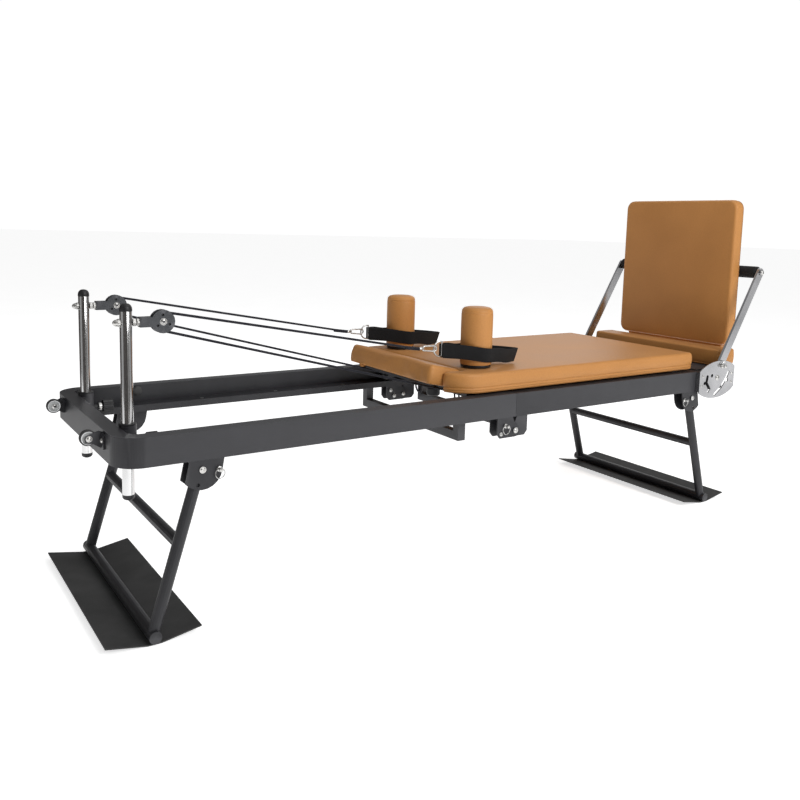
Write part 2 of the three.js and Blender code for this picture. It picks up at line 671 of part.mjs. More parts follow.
// From the strap's ring over the pulley and back down to the carriage's front beam.
function rope(side) {
  const wrap = GROOVE_RADIUS + ROPE_RADIUS + GAP;
  const strapEnd = [884, side * (REST_Y + 4), 580];
  const beamEnd = [CARRIAGE_FRONT - ROPE_RADIUS - 1, side * 125, 438];
  const first = tangentAngle(strapEnd[0] - PULLEY_X, strapEnd[2] - PULLEY_Z, wrap, 1);
  const last = tangentAngle(beamEnd[0] - PULLEY_X, beamEnd[2] - PULLEY_Z, wrap, -1) + 2 * Math.PI;
  const turns = 10;
  const around = Array.from({ length: turns + 1 }, (_, step) => {
    const angle = first + (last - first) * (step / turns);
    return new THREE.Vector3(
      PULLEY_X + wrap * Math.cos(angle), side * POST_Y, PULLEY_Z + wrap * Math.sin(angle));
  });
  const section = new THREE.Shape().absarc(0, 0, ROPE_RADIUS, 0, Math.PI * 2);
  const bend = new THREE.ExtrudeGeometry(section, {
    steps: turns, bevelEnabled: false, curveSegments: 4, extrudePath: new THREE.CatmullRomCurve3(around),
  });
  return union(
    rodBetween(strapEnd, around[0].toArray(), ROPE_RADIUS, 8), solid(bend),
    rodBetween(around.at(-1).toArray(), beamEnd, ROPE_RADIUS, 8));
}

// ---- springs ----
function spring(side) {
  return rodBetween(
    [YOKE_X + 6, side * SPRING_Y, SPRING_Z], [SPRING_BAR_X - 0.5, side * SPRING_Y, SPRING_Z], SPRING_RADIUS);
}

function springYoke() {
  return box(YOKE_X - 4, YOKE_X + 5, -95, 95, SPRING_Z - 9, SPRING_Z + 9);
}

// ---- footbar ----
// A plate of two shallow arcs; its ends fold in to the rail, and curved slots set the footbar's stops.
function lockPlate(side) {
  const steps = 14;
  const edge = (up) => Array.from({ length: steps + 1 }, (_, step) => {
    const x = -PLATE_HALF + 2 * PLATE_HALF * (step / steps);
    return [PLATE_X + x, PLATE_Z + up * 62 * Math.sqrt(1 - (x / 112) ** 2) + 0.05 * x];
  });
  const [y0, y1] = span(side, PLATE_INNER, PLATE_INNER + PLATE_THICK);
  const face = sideways(outline([...edge(-1), ...edge(1).reverse()]), y0, y1);
  const flangeSpan = span(side, RAIL_OUTER + GAP, PLATE_INNER + 1);
  const flanges = [
    box(PLATE_X - PLATE_HALF, PLATE_X - PLATE_HALF + 3, ...flangeSpan, PLATE_Z - 36, RAIL_TOP - 1),
    box(PLATE_X + PLATE_HALF - 3, PLATE_X + PLATE_HALF, ...flangeSpan, RAIL_LOW + 4, PLATE_Z + 38),
  ];
  const slot = (path, radius) => {
    const beads = path.map(([x, z]) => rodBetween(
      [PLATE_X + x, y0 - 5, PLATE_Z + z], [PLATE_X + x, y1 + 5, PLATE_Z + z], radius, 10));
    const links = beads.slice(1).map((bead, index) => wasm.Manifold.hull([beads[index], bead]));
    return union(beads[0], ...links);
  };
  const cuts = union(
    slot([[-52, 12], [-56, -8], [-38, -30]], 6), slot([[-56, -8], [-66, -9]], 5),
    slot([[60, 20], [46, -4], [22, -30], [-8, -50]], 5), slot([[46, -4], [54, -6]], 6.5),
    slot([[-28, 14]], 6), slot([[-45, -38]], 4.5));
  const bolt = rodBetween(
    [PLATE_X, side * (RAIL_OUTER + GAP), PIVOT_Z], [PLATE_X, side * (PLATE_INNER + 2), PIVOT_Z], 6, 6);
  return union(face.subtract(cuts), ...flanges, bolt);
}

function footbarFrame() {
  const lean = Math.atan2(GRIP_Z - PIVOT_Z, GRIP_X - PLATE_X);
  const half = ARM_WIDE / 2;
  const shape = new THREE.Shape();
  shape.absarc(PLATE_X, PIVOT_Z, half, lean + Math.PI / 2, lean + Math.PI * 1.5);
  shape.absarc(GRIP_X, GRIP_Z, half, lean - Math.PI / 2, lean + Math.PI / 2);
  const arms = SIDES.map(([, side]) => {
    const arm = sideways(shape, ...span(side, ARM_INNER, ARM_INNER + ARM_THICK));
    const bore = rodBetween([PLATE_X, side * 290, PIVOT_Z], [PLATE_X, side * 330, PIVOT_Z], 6.5, 14);
    const cap = rodBetween(
      [GRIP_X, side * ARM_INNER, GRIP_Z], [GRIP_X, side * (ARM_INNER + ARM_THICK + 4), GRIP_Z], 7, 14);
    return union(arm.subtract(bore), cap);
  });
  const bar = rodBetween([GRIP_X, -ARM_INNER - 2, GRIP_Z], [GRIP_X, ARM_INNER + 2, GRIP_Z], BAR_RADIUS, 20);
  return union(...arms, bar);
}

function gripFoam() {
  const tube = rodBetween([GRIP_X, -299, GRIP_Z], [GRIP_X, 299, GRIP_Z], GRIP_RADIUS, 24);
  return tube.subtract(rodBetween([GRIP_X, -310, GRIP_Z], [GRIP_X, 310, GRIP_Z], BAR_RADIUS + GAP, 20));
}

function footPad() {
  const geometry = cushion((edge) => roundedRectangle(
    FOOT_PAD_FRONT + edge, FOOT_PAD_REAR - edge, -PAD_HALF + edge, PAD_HALF - edge,
    [8, 8, 8, 8]), 9, FOOT_PAD_TOP - SHELF_TOP - GAP);
  geometry.translate(0, 0, SHELF_TOP + GAP);
  return solid(geometry);
}

// The board stands in YZ; two steel hooks on its back hang it over the footbar's grip.
function jumpBoard() {
  const geometry = cushion((edge) => roundedRectangle(
    -BOARD_HALF + edge, BOARD_HALF - edge, BOARD_LOW + edge, BOARD_TOP - edge,
    [30 - edge, 30 - edge, 30 - edge, 30 - edge]), 8, BOARD_BACK - BOARD_FRONT);
  geometry.applyMatrix4(YZ_TO_X);
  geometry.translate(BOARD_FRONT, 0, 0);
  const over = GRIP_Z + GRIP_RADIUS + 1;
  const hooks = [-150, 150].map((y) => union(
    box(BOARD_BACK - 4, HOOK_REAR, y - 15, y + 15, over, over + HOOK_THICK),
    box(HOOK_REAR - HOOK_THICK, HOOK_REAR, y - 15, y + 15, GRIP_Z - 5, over + HOOK_THICK)));
  return union(solid(geometry), ...hooks);
}

// ---- build the assembly ----
add('front_frame', frontFrame(), charcoal);
add('rear_frame', rearFrame(), charcoal);
add('front_cross_member', crossMember(925), charcoal);
add('rear_cross_member', crossMember(1139), charcoal);
for (const [label, side] of SIDES) {
  add(`fold_bracket_front_${label}`, foldBracketFront(side), charcoal);
  add(`fold_bracket_rear_${label}`, foldBracketRear(side), charcoal);
  add(`fold_lock_pin_${label}`, pullPin(1040, side, 372, RAIL_MID + EAR_REACH + GAP), zinc);
  add(`front_leg_bracket_${label}`, legBracket(LEG_PIVOT_X, 1, side), charcoal);
  add(`rear_leg_bracket_${label}`, legBracket(REAR_LEG_PIVOT_X, -1, side), charcoal);
  add(`front_leg_plunger_${label}`, pullPin(
    LEG_PIVOT_X + PLUNGER_REACH, side, LEG_PIVOT_Z - 3, RAIL_MID + BRACKET_REACH + GAP), zinc);
  add(`rear_leg_plunger_${label}`, pullPin(
    REAR_LEG_PIVOT_X - PLUNGER_REACH, side, LEG_PIVOT_Z - 3, RAIL_MID + BRACKET_REACH + GAP), zinc);
}
add('front_leg_frame', legFrame(LEG_PIVOT_X, 1), charcoal);
add('rear_leg_frame', legFrame(REAR_LEG_PIVOT_X, -1), charcoal);
add('front_floor_mat', floorMat(LEG_PIVOT_X - LEG_SPREAD), rubber);
add('rear_floor_mat', floorMat(REAR_LEG_PIVOT_X + LEG_SPREAD), rubber);

for (const [label, side] of SIDES) {
  add(`pulley_post_${label}`, post(side), chrome);
  add(`post_sleeve_${label}`, postSleeve(side), charcoal);
  add(`post_clamp_knob_${label}`, clampKnob(side), blackPlastic);
  add(`pulley_block_${label}`, pulleyBlock(side), zinc);
  add(`pulley_sheave_${label}`, sheave(side), blackPlastic);
  add(`transport_wheel_${label}`, transportWheel(side), greyHub);
  add(`pull_rope_${label}`, rope(side), cord);
}

add('carriage_frame', carriageFrame(), charcoal);
add('carriage_pad', carriagePad(), leather);
add('headrest_pad', headrestPad(), leather);
add('headrest_plate', headrestPlate(), charcoal);
add('headrest_knob', headrestKnob(), blackPlastic);
for (const [label, side] of SIDES) {
  add(`front_roller_${label}`, roller(ROLLER_X[0], side), blackPlastic);
  add(`rear_roller_${label}`, roller(ROLLER_X[1], side), blackPlastic);
  add(`shoulder_rest_${label}`, shoulderRest(side), leather);
  add(`strap_loop_${label}`, strapLoop(side), webbing);
  add(`resistance_spring_${label}`, spring(side), zinc);
}
add('spring_yoke', springYoke(), zinc);

for (const [label, side] of SIDES) {
  add(`footbar_lock_plate_${label}`, lockPlate(side), chrome);
  add(`footbar_plunger_${label}`, pullPin(
    PLATE_X + 23, side, PIVOT_Z + 38, PLATE_INNER + PLATE_THICK + GAP, 6), zinc);
}
add('footbar', footbarFrame(), chrome);
add('footbar_grip', gripFoam(), foam);
add('foot_pad', footPad(), leather);
add('jump_board', jumpBoard(), leather);

export default reformer;
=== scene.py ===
"""A folding pilates reformer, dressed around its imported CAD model.

Lengths are bench millimetres unless a line says metres: X runs from the pulley end, Y from the middle of the
machine and Z from the floor. at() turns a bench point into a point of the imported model, in metres.
"""
import json
import math

import bmesh
import bpy
import numpy as np
from mathutils import Matrix, Vector
from mathutils.geometry import delaunay_2d_cdt


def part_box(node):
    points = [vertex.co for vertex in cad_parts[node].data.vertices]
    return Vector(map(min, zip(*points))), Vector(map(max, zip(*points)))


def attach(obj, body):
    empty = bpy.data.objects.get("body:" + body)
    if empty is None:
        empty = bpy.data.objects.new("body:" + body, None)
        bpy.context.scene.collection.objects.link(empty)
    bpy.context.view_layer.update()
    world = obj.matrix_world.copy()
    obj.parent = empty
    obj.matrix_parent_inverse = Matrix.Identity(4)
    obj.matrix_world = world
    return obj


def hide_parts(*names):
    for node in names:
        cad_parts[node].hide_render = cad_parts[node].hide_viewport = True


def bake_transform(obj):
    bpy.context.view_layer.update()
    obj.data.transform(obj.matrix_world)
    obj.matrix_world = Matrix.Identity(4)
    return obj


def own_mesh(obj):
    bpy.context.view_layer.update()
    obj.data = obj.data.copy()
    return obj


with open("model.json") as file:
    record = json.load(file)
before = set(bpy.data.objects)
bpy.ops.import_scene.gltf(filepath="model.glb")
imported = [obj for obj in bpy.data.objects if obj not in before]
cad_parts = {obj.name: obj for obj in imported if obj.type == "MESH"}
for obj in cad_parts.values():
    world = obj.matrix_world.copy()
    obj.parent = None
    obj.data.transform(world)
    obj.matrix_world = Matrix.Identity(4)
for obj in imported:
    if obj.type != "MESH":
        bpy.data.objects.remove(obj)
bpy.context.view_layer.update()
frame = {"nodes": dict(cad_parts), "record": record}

SIDES = (("near", -1), ("far", 1))

# The camera: place, turn in degrees, lens, and shift as a share of the picture.
CAMERA_PLACE = (-429.2, -1978.4, 907.8)
CAMERA_YAW = 55.6
CAMERA_PITCH = -7.3
CAMERA_ROLL = 1.6
CAMERA_LENS = 37.05
CAMERA_SHIFT_X = -0.01526
CAMERA_SHIFT_Y = -0.08441

# Measures that repeat the CAD's. A pair is X and Z.
BRACKET_START_X = 1012.0     # where the near front fold bracket begins
POST_X = 52
POST_Y = 191                 # posts, pulleys and ropes stand this far from the middle
PULLEY = (130.0, 688.0)      # the sheave's axle
REST_X = 1012                # a shoulder rest's foot
REST_Y = 193
REST_Z = 524
HEADREST_HINGE = (951.0, 524.0)
HEADREST_TILT = math.radians(13.0)
WHEEL = (-28, 442)
FOOTBAR_PIVOT = (1949, 437)
GRIP = (2158, 785)
SPRING_Z = 417

# Ropes.
ROPE_RADIUS = 3.0
WRAP_RADIUS = 20.3           # from the sheave's axle to the middle of the rope
UPPER_END = (818.0, 585.0)   # where the upper run meets its snap hook
UPPER_END_Y = 194.0
LOWER_END = (1000.5, 438.0)  # where the lower run is tied, under the carriage
LOWER_END_Y = 125.0
HEADREST_EDGE_X = 832.0      # where the lower run passes under the headrest's front edge

# Cushions. A pair is a depth in from the outline and a height.
FOOT_TUCK = ((7, 0), (3.2, 0.6), (1.2, 2.2), (0.5, 4.5))
SEWN_CHANNEL = ((0.2, -2.2), (1.2, -0.8), (2.0, 0.0), (1.2, 0.8), (0.2, 2.2))
CORNER_POINTS = 9
CROWN_GRID = 14.0            # spacing of the points in a cushion's top
CROWN_REACH = 45.0           # how far in from the rim the top goes on rising

# Webbing.
STRAP_WIDTH = 40.0
STRAP_THICK = 2.6
STRAP_BEND = 48.5            # the loop's radius round the shoulder rest
STRAP_SLOPE = math.tan(math.radians(6.5))

# Studio, in metres, degrees, watts and strengths.
ROOM_LIGHT = 0.38            # the room's brightness on the object
ROOM_SEEN = 1.02             # and as the camera sees it
LIGHTS = (                   # name, place, target, size, power
    ("key", (0.9, -4.4, 3.0), (0.1, 0, 0.5), (3.0, 2.0), 150),
    ("overhead", (0.6, -0.4, 4.2), (0.3, 0, 0.5), (4.0, 3.0), 46),
    ("rim", (3.2, 2.6, 2.4), (0.4, 0, 0.6), (2.0, 2.0), 20),
)
DARK_CARDS = (               # name, first and last bearing
    ("card_behind", 198, 262),
    ("card_side", 272, 288),
    ("card_left", 96, 168),
    ("card_right", 338, 372),
)
CARD_RADIUS = 3.2
CARD_HEIGHT = 2.4
FLOOR_HALF = 60.0
FLOOR_STEPS = 12
FLOOR_Z = -0.0004            # just clear of the floor mats

BENCH_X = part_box("fold_bracket_front_near")[0][0] * 1000 - BRACKET_START_X


def at(x, y, z):
    """A bench point in millimetres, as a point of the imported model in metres."""
    return Vector(((x + BENCH_X) / 1000, y / 1000, z / 1000))


# ---- camera ----
def make_camera():
    yaw, pitch, roll = (math.radians(angle) for angle in (CAMERA_YAW, CAMERA_PITCH, CAMERA_ROLL))
    forward = Vector((math.cos(pitch) * math.cos(yaw), math.cos(pitch) * math.sin(yaw), math.sin(pitch)))
    right = Vector((math.sin(yaw), -math.cos(yaw), 0))
    up = right.cross(forward)
    image_right = math.cos(roll) * right + math.sin(roll) * up
    image_up = -math.sin(roll) * right + math.cos(roll) * up
    data = bpy.data.cameras.new("camera")
    data.sensor_width = 36
    data.lens = CAMERA_LENS
    data.shift_x = CAMERA_SHIFT_X
    data.shift_y = CAMERA_SHIFT_Y
    data.clip_end = 100
    camera = bpy.data.objects.new("camera", data)
    turn = Matrix((image_right, image_up, -forward)).transposed().to_4x4()
    camera.matrix_world = Matrix.Translation(at(*CAMERA_PLACE)) @ turn
    bpy.context.scene.collection.objects.link(camera)
    bpy.context.scene.camera = camera


make_camera()


# ---- materials ----
class Nodes:
    """A small helper for wiring a material's node tree."""

    def __init__(self, name):
        self.material = bpy.data.materials.new(name)
        self.material.use_nodes = True
        self.tree = self.material.node_tree
        self.shader = self.tree.nodes["Principled BSDF"]
        self.coords = self.tree.nodes.new("ShaderNodeTexCoord").outputs["Object"]

    def add(self, kind, **values):
        """A new node. Each value is a property of the node, or the input that its name spells."""
        node = self.tree.nodes.new(kind)
        for key, value in values.items():
            if hasattr(node, key):
                setattr(node, key, value)
            else:
                node.inputs[key.replace("_", " ")].default_value = value
        return node

    def link(self, output, socket):
        self.tree.links.new(output, socket)

    def texture(self, kind, **values):
        node = self.add(kind, **values)
        self.link(self.coords, node.inputs["Vector"])
        return node

    def mapped(self, kind, scale=(1, 1, 1), rotation=(0, 0, 0), **values):
        """A texture whose coordinates are turned and stretched first."""
        mapping = self.add("ShaderNodeMapping", Scale=scale, Rotation=rotation)
        self.link(self.coords, mapping.inputs["Vector"])
        node = self.add(kind, **values)
        self.link(mapping.outputs["Vector"], node.inputs["Vector"])
        return node

    def colours(self, factor, low, high, start=0.3, end=0.7):
        ramp = self.add("ShaderNodeValToRGB")
        ramp.color_ramp.elements[0].position = start
        ramp.color_ramp.elements[1].position = end
        ramp.color_ramp.elements[0].color = (*low, 1)
        ramp.color_ramp.elements[1].color = (*high, 1)
        self.link(factor, ramp.inputs["Fac"])
        return ramp.outputs["Color"]

    def spread(self, factor, low, high):
        """A factor from 0 to 1, made to run from low to high."""
        node = self.add("ShaderNodeMapRange", To_Min=low, To_Max=high)
        self.link(factor, node.inputs["Value"])
        return node.outputs["Result"]

    def bump(self, height, strength, distance, under=None):
        node = self.add("ShaderNodeBump", Strength=strength, Distance=distance)
        self.link(height, node.inputs["Height"])
        if under is not None:
            self.link(under, node.inputs["Normal"])
        return node.outputs["Normal"]


def set_shader(shader, **values):
    for key, value in values.items():
        shader.inputs[key.replace("_", " ")].default_value = value


def coated(name, low, high, roughness, grain, grain_depth, metallic=0.0, edge_highlight=None, gloss=0.5):
    """A hard finish: slow colour drift, fine grain in the bump, and sharp edges painted paler as a painted
    highlight.
    """
    n = Nodes(name)
    drift = n.texture("ShaderNodeTexNoise", Scale=14.0, Detail=4.0)
    colour = n.colours(drift.outputs["Fac"], low, high)
    # Painted highlight: convex edges, picked out by pointiness, take a paler colour.
    if edge_highlight is not None:
        geometry = n.add("ShaderNodeNewGeometry")
        edge = n.colours(geometry.outputs["Pointiness"], (0, 0, 0), (1, 1, 1), 0.56, 0.66)
        mix = n.add("ShaderNodeMix", data_type="RGBA")
        n.link(edge, mix.inputs["Factor"])
        n.link(colour, mix.inputs["A"])
        mix.inputs["B"].default_value = (*edge_highlight, 1)
        colour = mix.outputs["Result"]
    n.link(colour, n.shader.inputs["Base Color"])
    fine = n.texture("ShaderNodeTexNoise", Scale=grain, Detail=3.0)
    n.link(n.spread(fine.outputs["Fac"], *roughness), n.shader.inputs["Roughness"])
    n.link(n.bump(fine.outputs["Fac"], 0.25, grain_depth), n.shader.inputs["Normal"])
    set_shader(n.shader, Metallic=metallic, Specular_IOR_Level=gloss)
    return n.material


def brushed(name, low, high, roughness, stretch):
    """Bare metal with fine lines drawn along one direction."""
    n = Nodes(name)
    lines = n.mapped("ShaderNodeTexNoise", scale=stretch, Scale=60.0, Detail=4.0)
    smudge = n.texture("ShaderNodeTexNoise", Scale=9.0, Detail=3.0)
    n.link(n.colours(smudge.outputs["Fac"], low, high), n.shader.inputs["Base Color"])
    n.link(n.spread(lines.outputs["Fac"], *roughness), n.shader.inputs["Roughness"])
    n.link(n.bump(lines.outputs["Fac"], 0.1, 0.0001), n.shader.inputs["Normal"])
    set_shader(n.shader, Metallic=1.0)
    return n.material


def leather(name, low, high):
    """Embossed upholstery vinyl: pebble cells about 1.3 mm across, over a slow drift of colour and gloss."""
    n = Nodes(name)
    pebble = n.texture("ShaderNodeTexVoronoi", Scale=760.0, feature="F1")
    crease = n.texture("ShaderNodeTexNoise", Scale=240.0, Detail=6.0)
    drift = n.texture("ShaderNodeTexNoise", Scale=5.0, Detail=3.0)
    mix = n.add("ShaderNodeMix", data_type="RGBA", blend_type="MULTIPLY")
    mix.inputs["Factor"].default_value = 0.16
    n.link(n.colours(drift.outputs["Fac"], low, high), mix.inputs["A"])
    n.link(n.colours(crease.outputs["Fac"], (0.5, 0.46, 0.42), (1, 1, 1), 0.3, 0.6), mix.inputs["B"])
    n.link(mix.outputs["Result"], n.shader.inputs["Base Color"])
    n.link(n.spread(drift.outputs["Fac"], 0.46, 0.58), n.shader.inputs["Roughness"])
    creased = n.bump(crease.outputs["Fac"], 0.12, 0.0006)
    n.link(n.bump(pebble.outputs["Distance"], 0.16, 0.0004, creased), n.shader.inputs["Normal"])
    set_shader(n.shader, Sheen_Weight=0.05, Sheen_Roughness=0.5, Specular_IOR_Level=0.4)
    return n.material


def woven(name, low, high, threads, turns=((0, 0, 0), (0, 0, 0))):
    """Woven or braided fibre from two crossed sets of ridges. turns is how each set's direction is turned."""
    n = Nodes(name)
    both = n.add("ShaderNodeMath", operation="MULTIPLY")
    for k, (direction, turn) in enumerate(zip("XZ", turns)):
        ridges = n.mapped("ShaderNodeTexWave", rotation=turn, bands_direction=direction, Scale=threads)
        n.link(ridges.outputs["Fac"], both.inputs[k])
    n.link(n.colours(both.outputs["Value"], low, high, 0.0, 0.6), n.shader.inputs["Base Color"])
    n.link(n.bump(both.outputs["Value"], 0.6, 0.0006), n.shader.inputs["Normal"])
    set_shader(n.shader, Roughness=0.85, Sheen_Weight=0.06, Specular_IOR_Level=0.2)
    return n.material


MATERIALS = {
    # The powder coat's paler edges are a painted highlight.
    "satin_black_steel": coated(
        "powder_coat", (0.013, 0.013, 0.0155), (0.019, 0.019, 0.0225), roughness=(0.38, 0.52),
        grain=900.0, grain_depth=0.0002, edge_highlight=(0.05, 0.05, 0.055), gloss=0.42),
    "polished_chrome": brushed(
        "chrome", (0.60, 0.60, 0.60), (0.74, 0.74, 0.74), roughness=(0.07, 0.14), stretch=(1, 1, 1)),
    "zinc_steel": brushed(
        "zinc", (0.46, 0.46, 0.45), (0.66, 0.65, 0.63), roughness=(0.22, 0.36), stretch=(1, 8, 1)),
    "black_plastic": coated(
        "black_plastic", (0.007, 0.007, 0.008), (0.014, 0.014, 0.016), roughness=(0.38, 0.5),
        grain=700.0, grain_depth=0.0002, gloss=0.4),
    "grey_wheel": coated(
        "grey_hub", (0.36, 0.37, 0.37), (0.48, 0.49, 0.49), roughness=(0.3, 0.42),
        grain=500.0, grain_depth=0.0001),
    "black_rubber": coated(
        "black_rubber", (0.031, 0.031, 0.031), (0.046, 0.046, 0.046), roughness=(0.6, 0.8),
        grain=420.0, grain_depth=0.0005, gloss=0.3),
    "grip_foam": coated(
        "grip_foam", (0.007, 0.007, 0.008), (0.015, 0.015, 0.016), roughness=(0.75, 0.9),
        grain=650.0, grain_depth=0.001, gloss=0.3),
    "tan_upholstery": leather("tan_leather", (0.425, 0.184, 0.044), (0.485, 0.214, 0.054)),
    "black_webbing": woven("webbing", (0.004, 0.004, 0.0045), (0.013, 0.013, 0.014), threads=130.0),
    "black_cord": woven(
        "cord", (0.006, 0.006, 0.010), (0.030, 0.030, 0.038), threads=160.0,
        turns=((0.6, 0.7, 0.4), (0.6, -0.7, 0.4))),
}
# Looks that a few pieces have in place of their slot's own.
PLATE_STEEL = brushed(
    "plate_steel", (0.33, 0.33, 0.34), (0.46, 0.46, 0.47), roughness=(0.16, 0.28), stretch=(1, 1, 6))
# The pulley blocks' paler edges are a painted highlight.
GUNMETAL = coated(
    "pulley_gunmetal", (0.045, 0.048, 0.052), (0.075, 0.078, 0.084), roughness=(0.3, 0.42),
    grain=600.0, grain_depth=0.0002, metallic=0.6, edge_highlight=(0.16, 0.16, 0.17))
WHITE_RING = coated(
    "white_ring", (0.62, 0.63, 0.64), (0.74, 0.75, 0.76), roughness=(0.35, 0.5),
    grain=500.0, grain_depth=0.0001)


# ---- shared piece makers ----
def new_object(name, mesh):
    obj = bpy.data.objects.new(name, mesh)
    bpy.context.scene.collection.objects.link(obj)
    return obj


def mesh_object(name, vertices, faces, smooth=35):
    """An object from vertices in metres. Edges sharper than smooth, in degrees, stay sharp."""
    mesh = bpy.data.meshes.new(name)
    mesh.from_pydata([tuple(v) for v in vertices], [], faces)
    work = bmesh.new()
    work.from_mesh(mesh)
    bmesh.ops.remove_doubles(work, verts=work.verts, dist=1e-6)
    bmesh.ops.recalc_face_normals(work, faces=work.faces)
    work.to_mesh(mesh)
    work.free()
    mesh.shade_smooth()
    mesh.set_sharp_from_angle(angle=math.radians(smooth))
    return new_object(name, mesh)


def dress(obj, body, slot, material=None, replaces=()):
    """Gives a piece the material of its slot, or the material given, and sets it riding on its body."""
    obj.data.materials.clear()
    obj.data.materials.append(material or MATERIALS[slot])
    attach(obj, body)
    if replaces:
        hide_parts(*replaces)
    return obj


def ring_faces(rings, sides, closed=False):
    """Faces that join each ring of vertices to the next, and the last to the first where closed."""
    faces = []
    for i in range(rings if closed else rings - 1):
        here = i * sides
        there = (i + 1) % rings * sides
        for k in range(sides):
            n = (k + 1) % sides
            faces.append((here + k, here + n, there + n, there + k))
    return faces


def end_faces(rings, sides):
    """The two faces that close a strip's first and last ring."""
    return [tuple(reversed(range(sides))), tuple((rings - 1) * sides + k for k in range(sides))]


def left_of(ahead):
    """Unit vectors on the left of plane vectors."""
    return np.stack([-ahead[:, 1], ahead[:, 0]], 1) / np.linalg.norm(ahead, axis=1)[:, None]


def basis(axis):
    """Two unit vectors square to axis."""
    axis = Vector(axis).normalized()
    guess = Vector((0, 0, 1)) if abs(axis.z) < 0.9 else Vector((1, 0, 0))
    first = axis.cross(guess).normalized()
    return first, axis.cross(first)


def lathe(name, profile, centre, axis, segments=40):
    """A turned piece. profile is (radius, height) along axis from centre, a bench point."""
    axis = Vector(axis).normalized()
    first, second = basis(axis)
    origin = at(*centre)
    vertices = []
    for radius, height in profile:
        for k in range(segments):
            angle = 2 * math.pi * k / segments
            out = math.cos(angle) * first + math.sin(angle) * second
            vertices.append(origin + (out * radius + axis * height) / 1000)
    return mesh_object(name, vertices, ring_faces(len(profile), segments))


def hoop(name, profile, centre, axis, segments=40):
    """A turned piece with a hole through it: its profile comes back to where it began."""
    return lathe(name, [*profile, profile[0]], centre, axis, segments)


def sweep(name, points, radius, sides=12, closed=False, smooth=40):
    """A tube along bench points, with rounded ends unless it is closed."""
    line = [at(*p) for p in points]
    count = len(line)
    tangents = []
    for i in range(count):
        before = line[i - 1] if closed or i else line[i]
        after = line[(i + 1) % count] if closed or i < count - 1 else line[i]
        tangents.append((after - before).normalized())
    normal, _ = basis(tangents[0])
    vertices = []
    for point, tangent in zip(line, tangents):
        normal = (normal - tangent * normal.dot(tangent)).normalized()
        side = tangent.cross(normal)
        for k in range(sides):
            angle = 2 * math.pi * k / sides
            vertices.append(point + (normal * math.cos(angle) + side * math.sin(angle)) * radius / 1000)
    faces = ring_faces(count, sides, closed)
    if not closed:
        for end, way in ((0, -1), (count - 1, 1)):
            vertices.append(line[end] + tangents[end] * way * radius * 0.4 / 1000)
            for k in range(sides):
                faces.append((end * sides + k, end * sides + (k + 1) % sides, len(vertices) - 1))
    return mesh_object(name, vertices, faces, smooth)


def arc(centre, radius, start, end, steps, y):
    """Bench points round part of an upright circle. centre is X and Z, start and end are degrees."""
    points = []
    for k in range(steps + 1):
        angle = math.radians(start + (end - start) * k / steps)
        points.append((centre[0] + radius * math.cos(angle), y, centre[1] + radius * math.sin(angle)))
    return points


def bolt(name, centre, axis, body, radius, height):
    """A button-head bolt on a thin washer, with a socket."""
    socket = radius * 0.42
    washer = [(0, 0), (radius * 1.25, 0), (radius * 1.25, 0.8), (radius, 0.9)]
    head = [(radius * 0.96, height * 0.45), (radius * 0.78, height * 0.8), (radius * 0.55, height)]
    profile = [*washer, *head, (socket, height), (socket * 0.9, height * 0.5), (0, height * 0.5)]
    return dress(lathe(name, profile, centre, axis, 18), body, "zinc_steel")


# ---- ropes: on each side an upper run, the wrap round the sheave, a lower run and its hidden end ----
def tangent_angle(point, way):
    """The angle, in degrees, at which a line from point touches the rope's circle round the sheave."""
    u, v = point[0] - PULLEY[0], point[1] - PULLEY[1]
    return math.degrees(math.atan2(v, u) + way * math.acos(WRAP_RADIUS / math.hypot(u, v)))


def straight(start, end, steps=24):
    return [tuple(a + (b - a) * k / steps for a, b in zip(start, end)) for k in range(steps + 1)]


def rope_piece(name, points, body):
    piece = dress(sweep(name, points, ROPE_RADIUS), body, "black_cord")
    return piece


def rope_run(name, start, end, label):
    """A run between the pulley and the carriage, on a mesh of its own."""
    piece = rope_piece(name, straight(start, end), f"post_{label}")
    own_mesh(piece)
    return piece


def make_ropes(label, side):
    first = tangent_angle(UPPER_END, 1)
    last = tangent_angle(LOWER_END, -1) + 360
    wrap = arc(PULLEY, WRAP_RADIUS, first, last, 20, side * POST_Y)
    rope_piece(f"rope_wrap_{label}", wrap, f"post_{label}")
    upper = rope_run(f"rope_upper_{label}", wrap[0], (UPPER_END[0], side * UPPER_END_Y, UPPER_END[1]), label)
    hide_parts(f"pull_rope_{label}")
    tied = (LOWER_END[0], side * LOWER_END_Y, LOWER_END[1])
    lower = straight(wrap[-1], tied, 100)
    edge = max(k for k, point in enumerate(lower) if point[0] <= HEADREST_EDGE_X)
    rope_run(f"rope_lower_{label}", lower[0], lower[edge], label)
    rope_piece(f"rope_under_{label}", straight(tied, lower[edge]), "carriage")


for rope_label, rope_side in SIDES:
    make_ropes(rope_label, rope_side)


# ---- cushions ----
def densify(corners, step):
    """A closed outline with a point every step millimetres or so."""
    points = []
    for i, a in enumerate(corners):
        b = corners[(i + 1) % len(corners)]
        count = max(1, round(math.dist(a, b) / step))
        points += [(a[0] + (b[0] - a[0]) * k / count, a[1] + (b[1] - a[1]) * k / count) for k in range(count)]
    return np.array(points)


def soften(points, times):
    """A closed outline with its corners eased."""
    for _ in range(times):
        points = 0.5 * points + 0.25 * (np.roll(points, 1, 0) + np.roll(points, -1, 0))
    return points


def rounded_box(u0, u1, v0, v1, radii):
    """The outline of a rectangle with its own radius at each corner, anticlockwise from (u0, v0)."""
    spots = ((u0, v0, 180), (u1, v0, 270), (u1, v1, 0), (u0, v1, 90))
    points = []
    for (u, v, start), radius in zip(spots, radii):
        cu = u + (radius if u == u0 else -radius)
        cv = v + (radius if v == v0 else -radius)
        for k in range(CORNER_POINTS):
            angle = math.radians(start + 90 * k / (CORNER_POINTS - 1))
            points.append((cu + radius * math.cos(angle), cv + radius * math.sin(angle)))
    return points


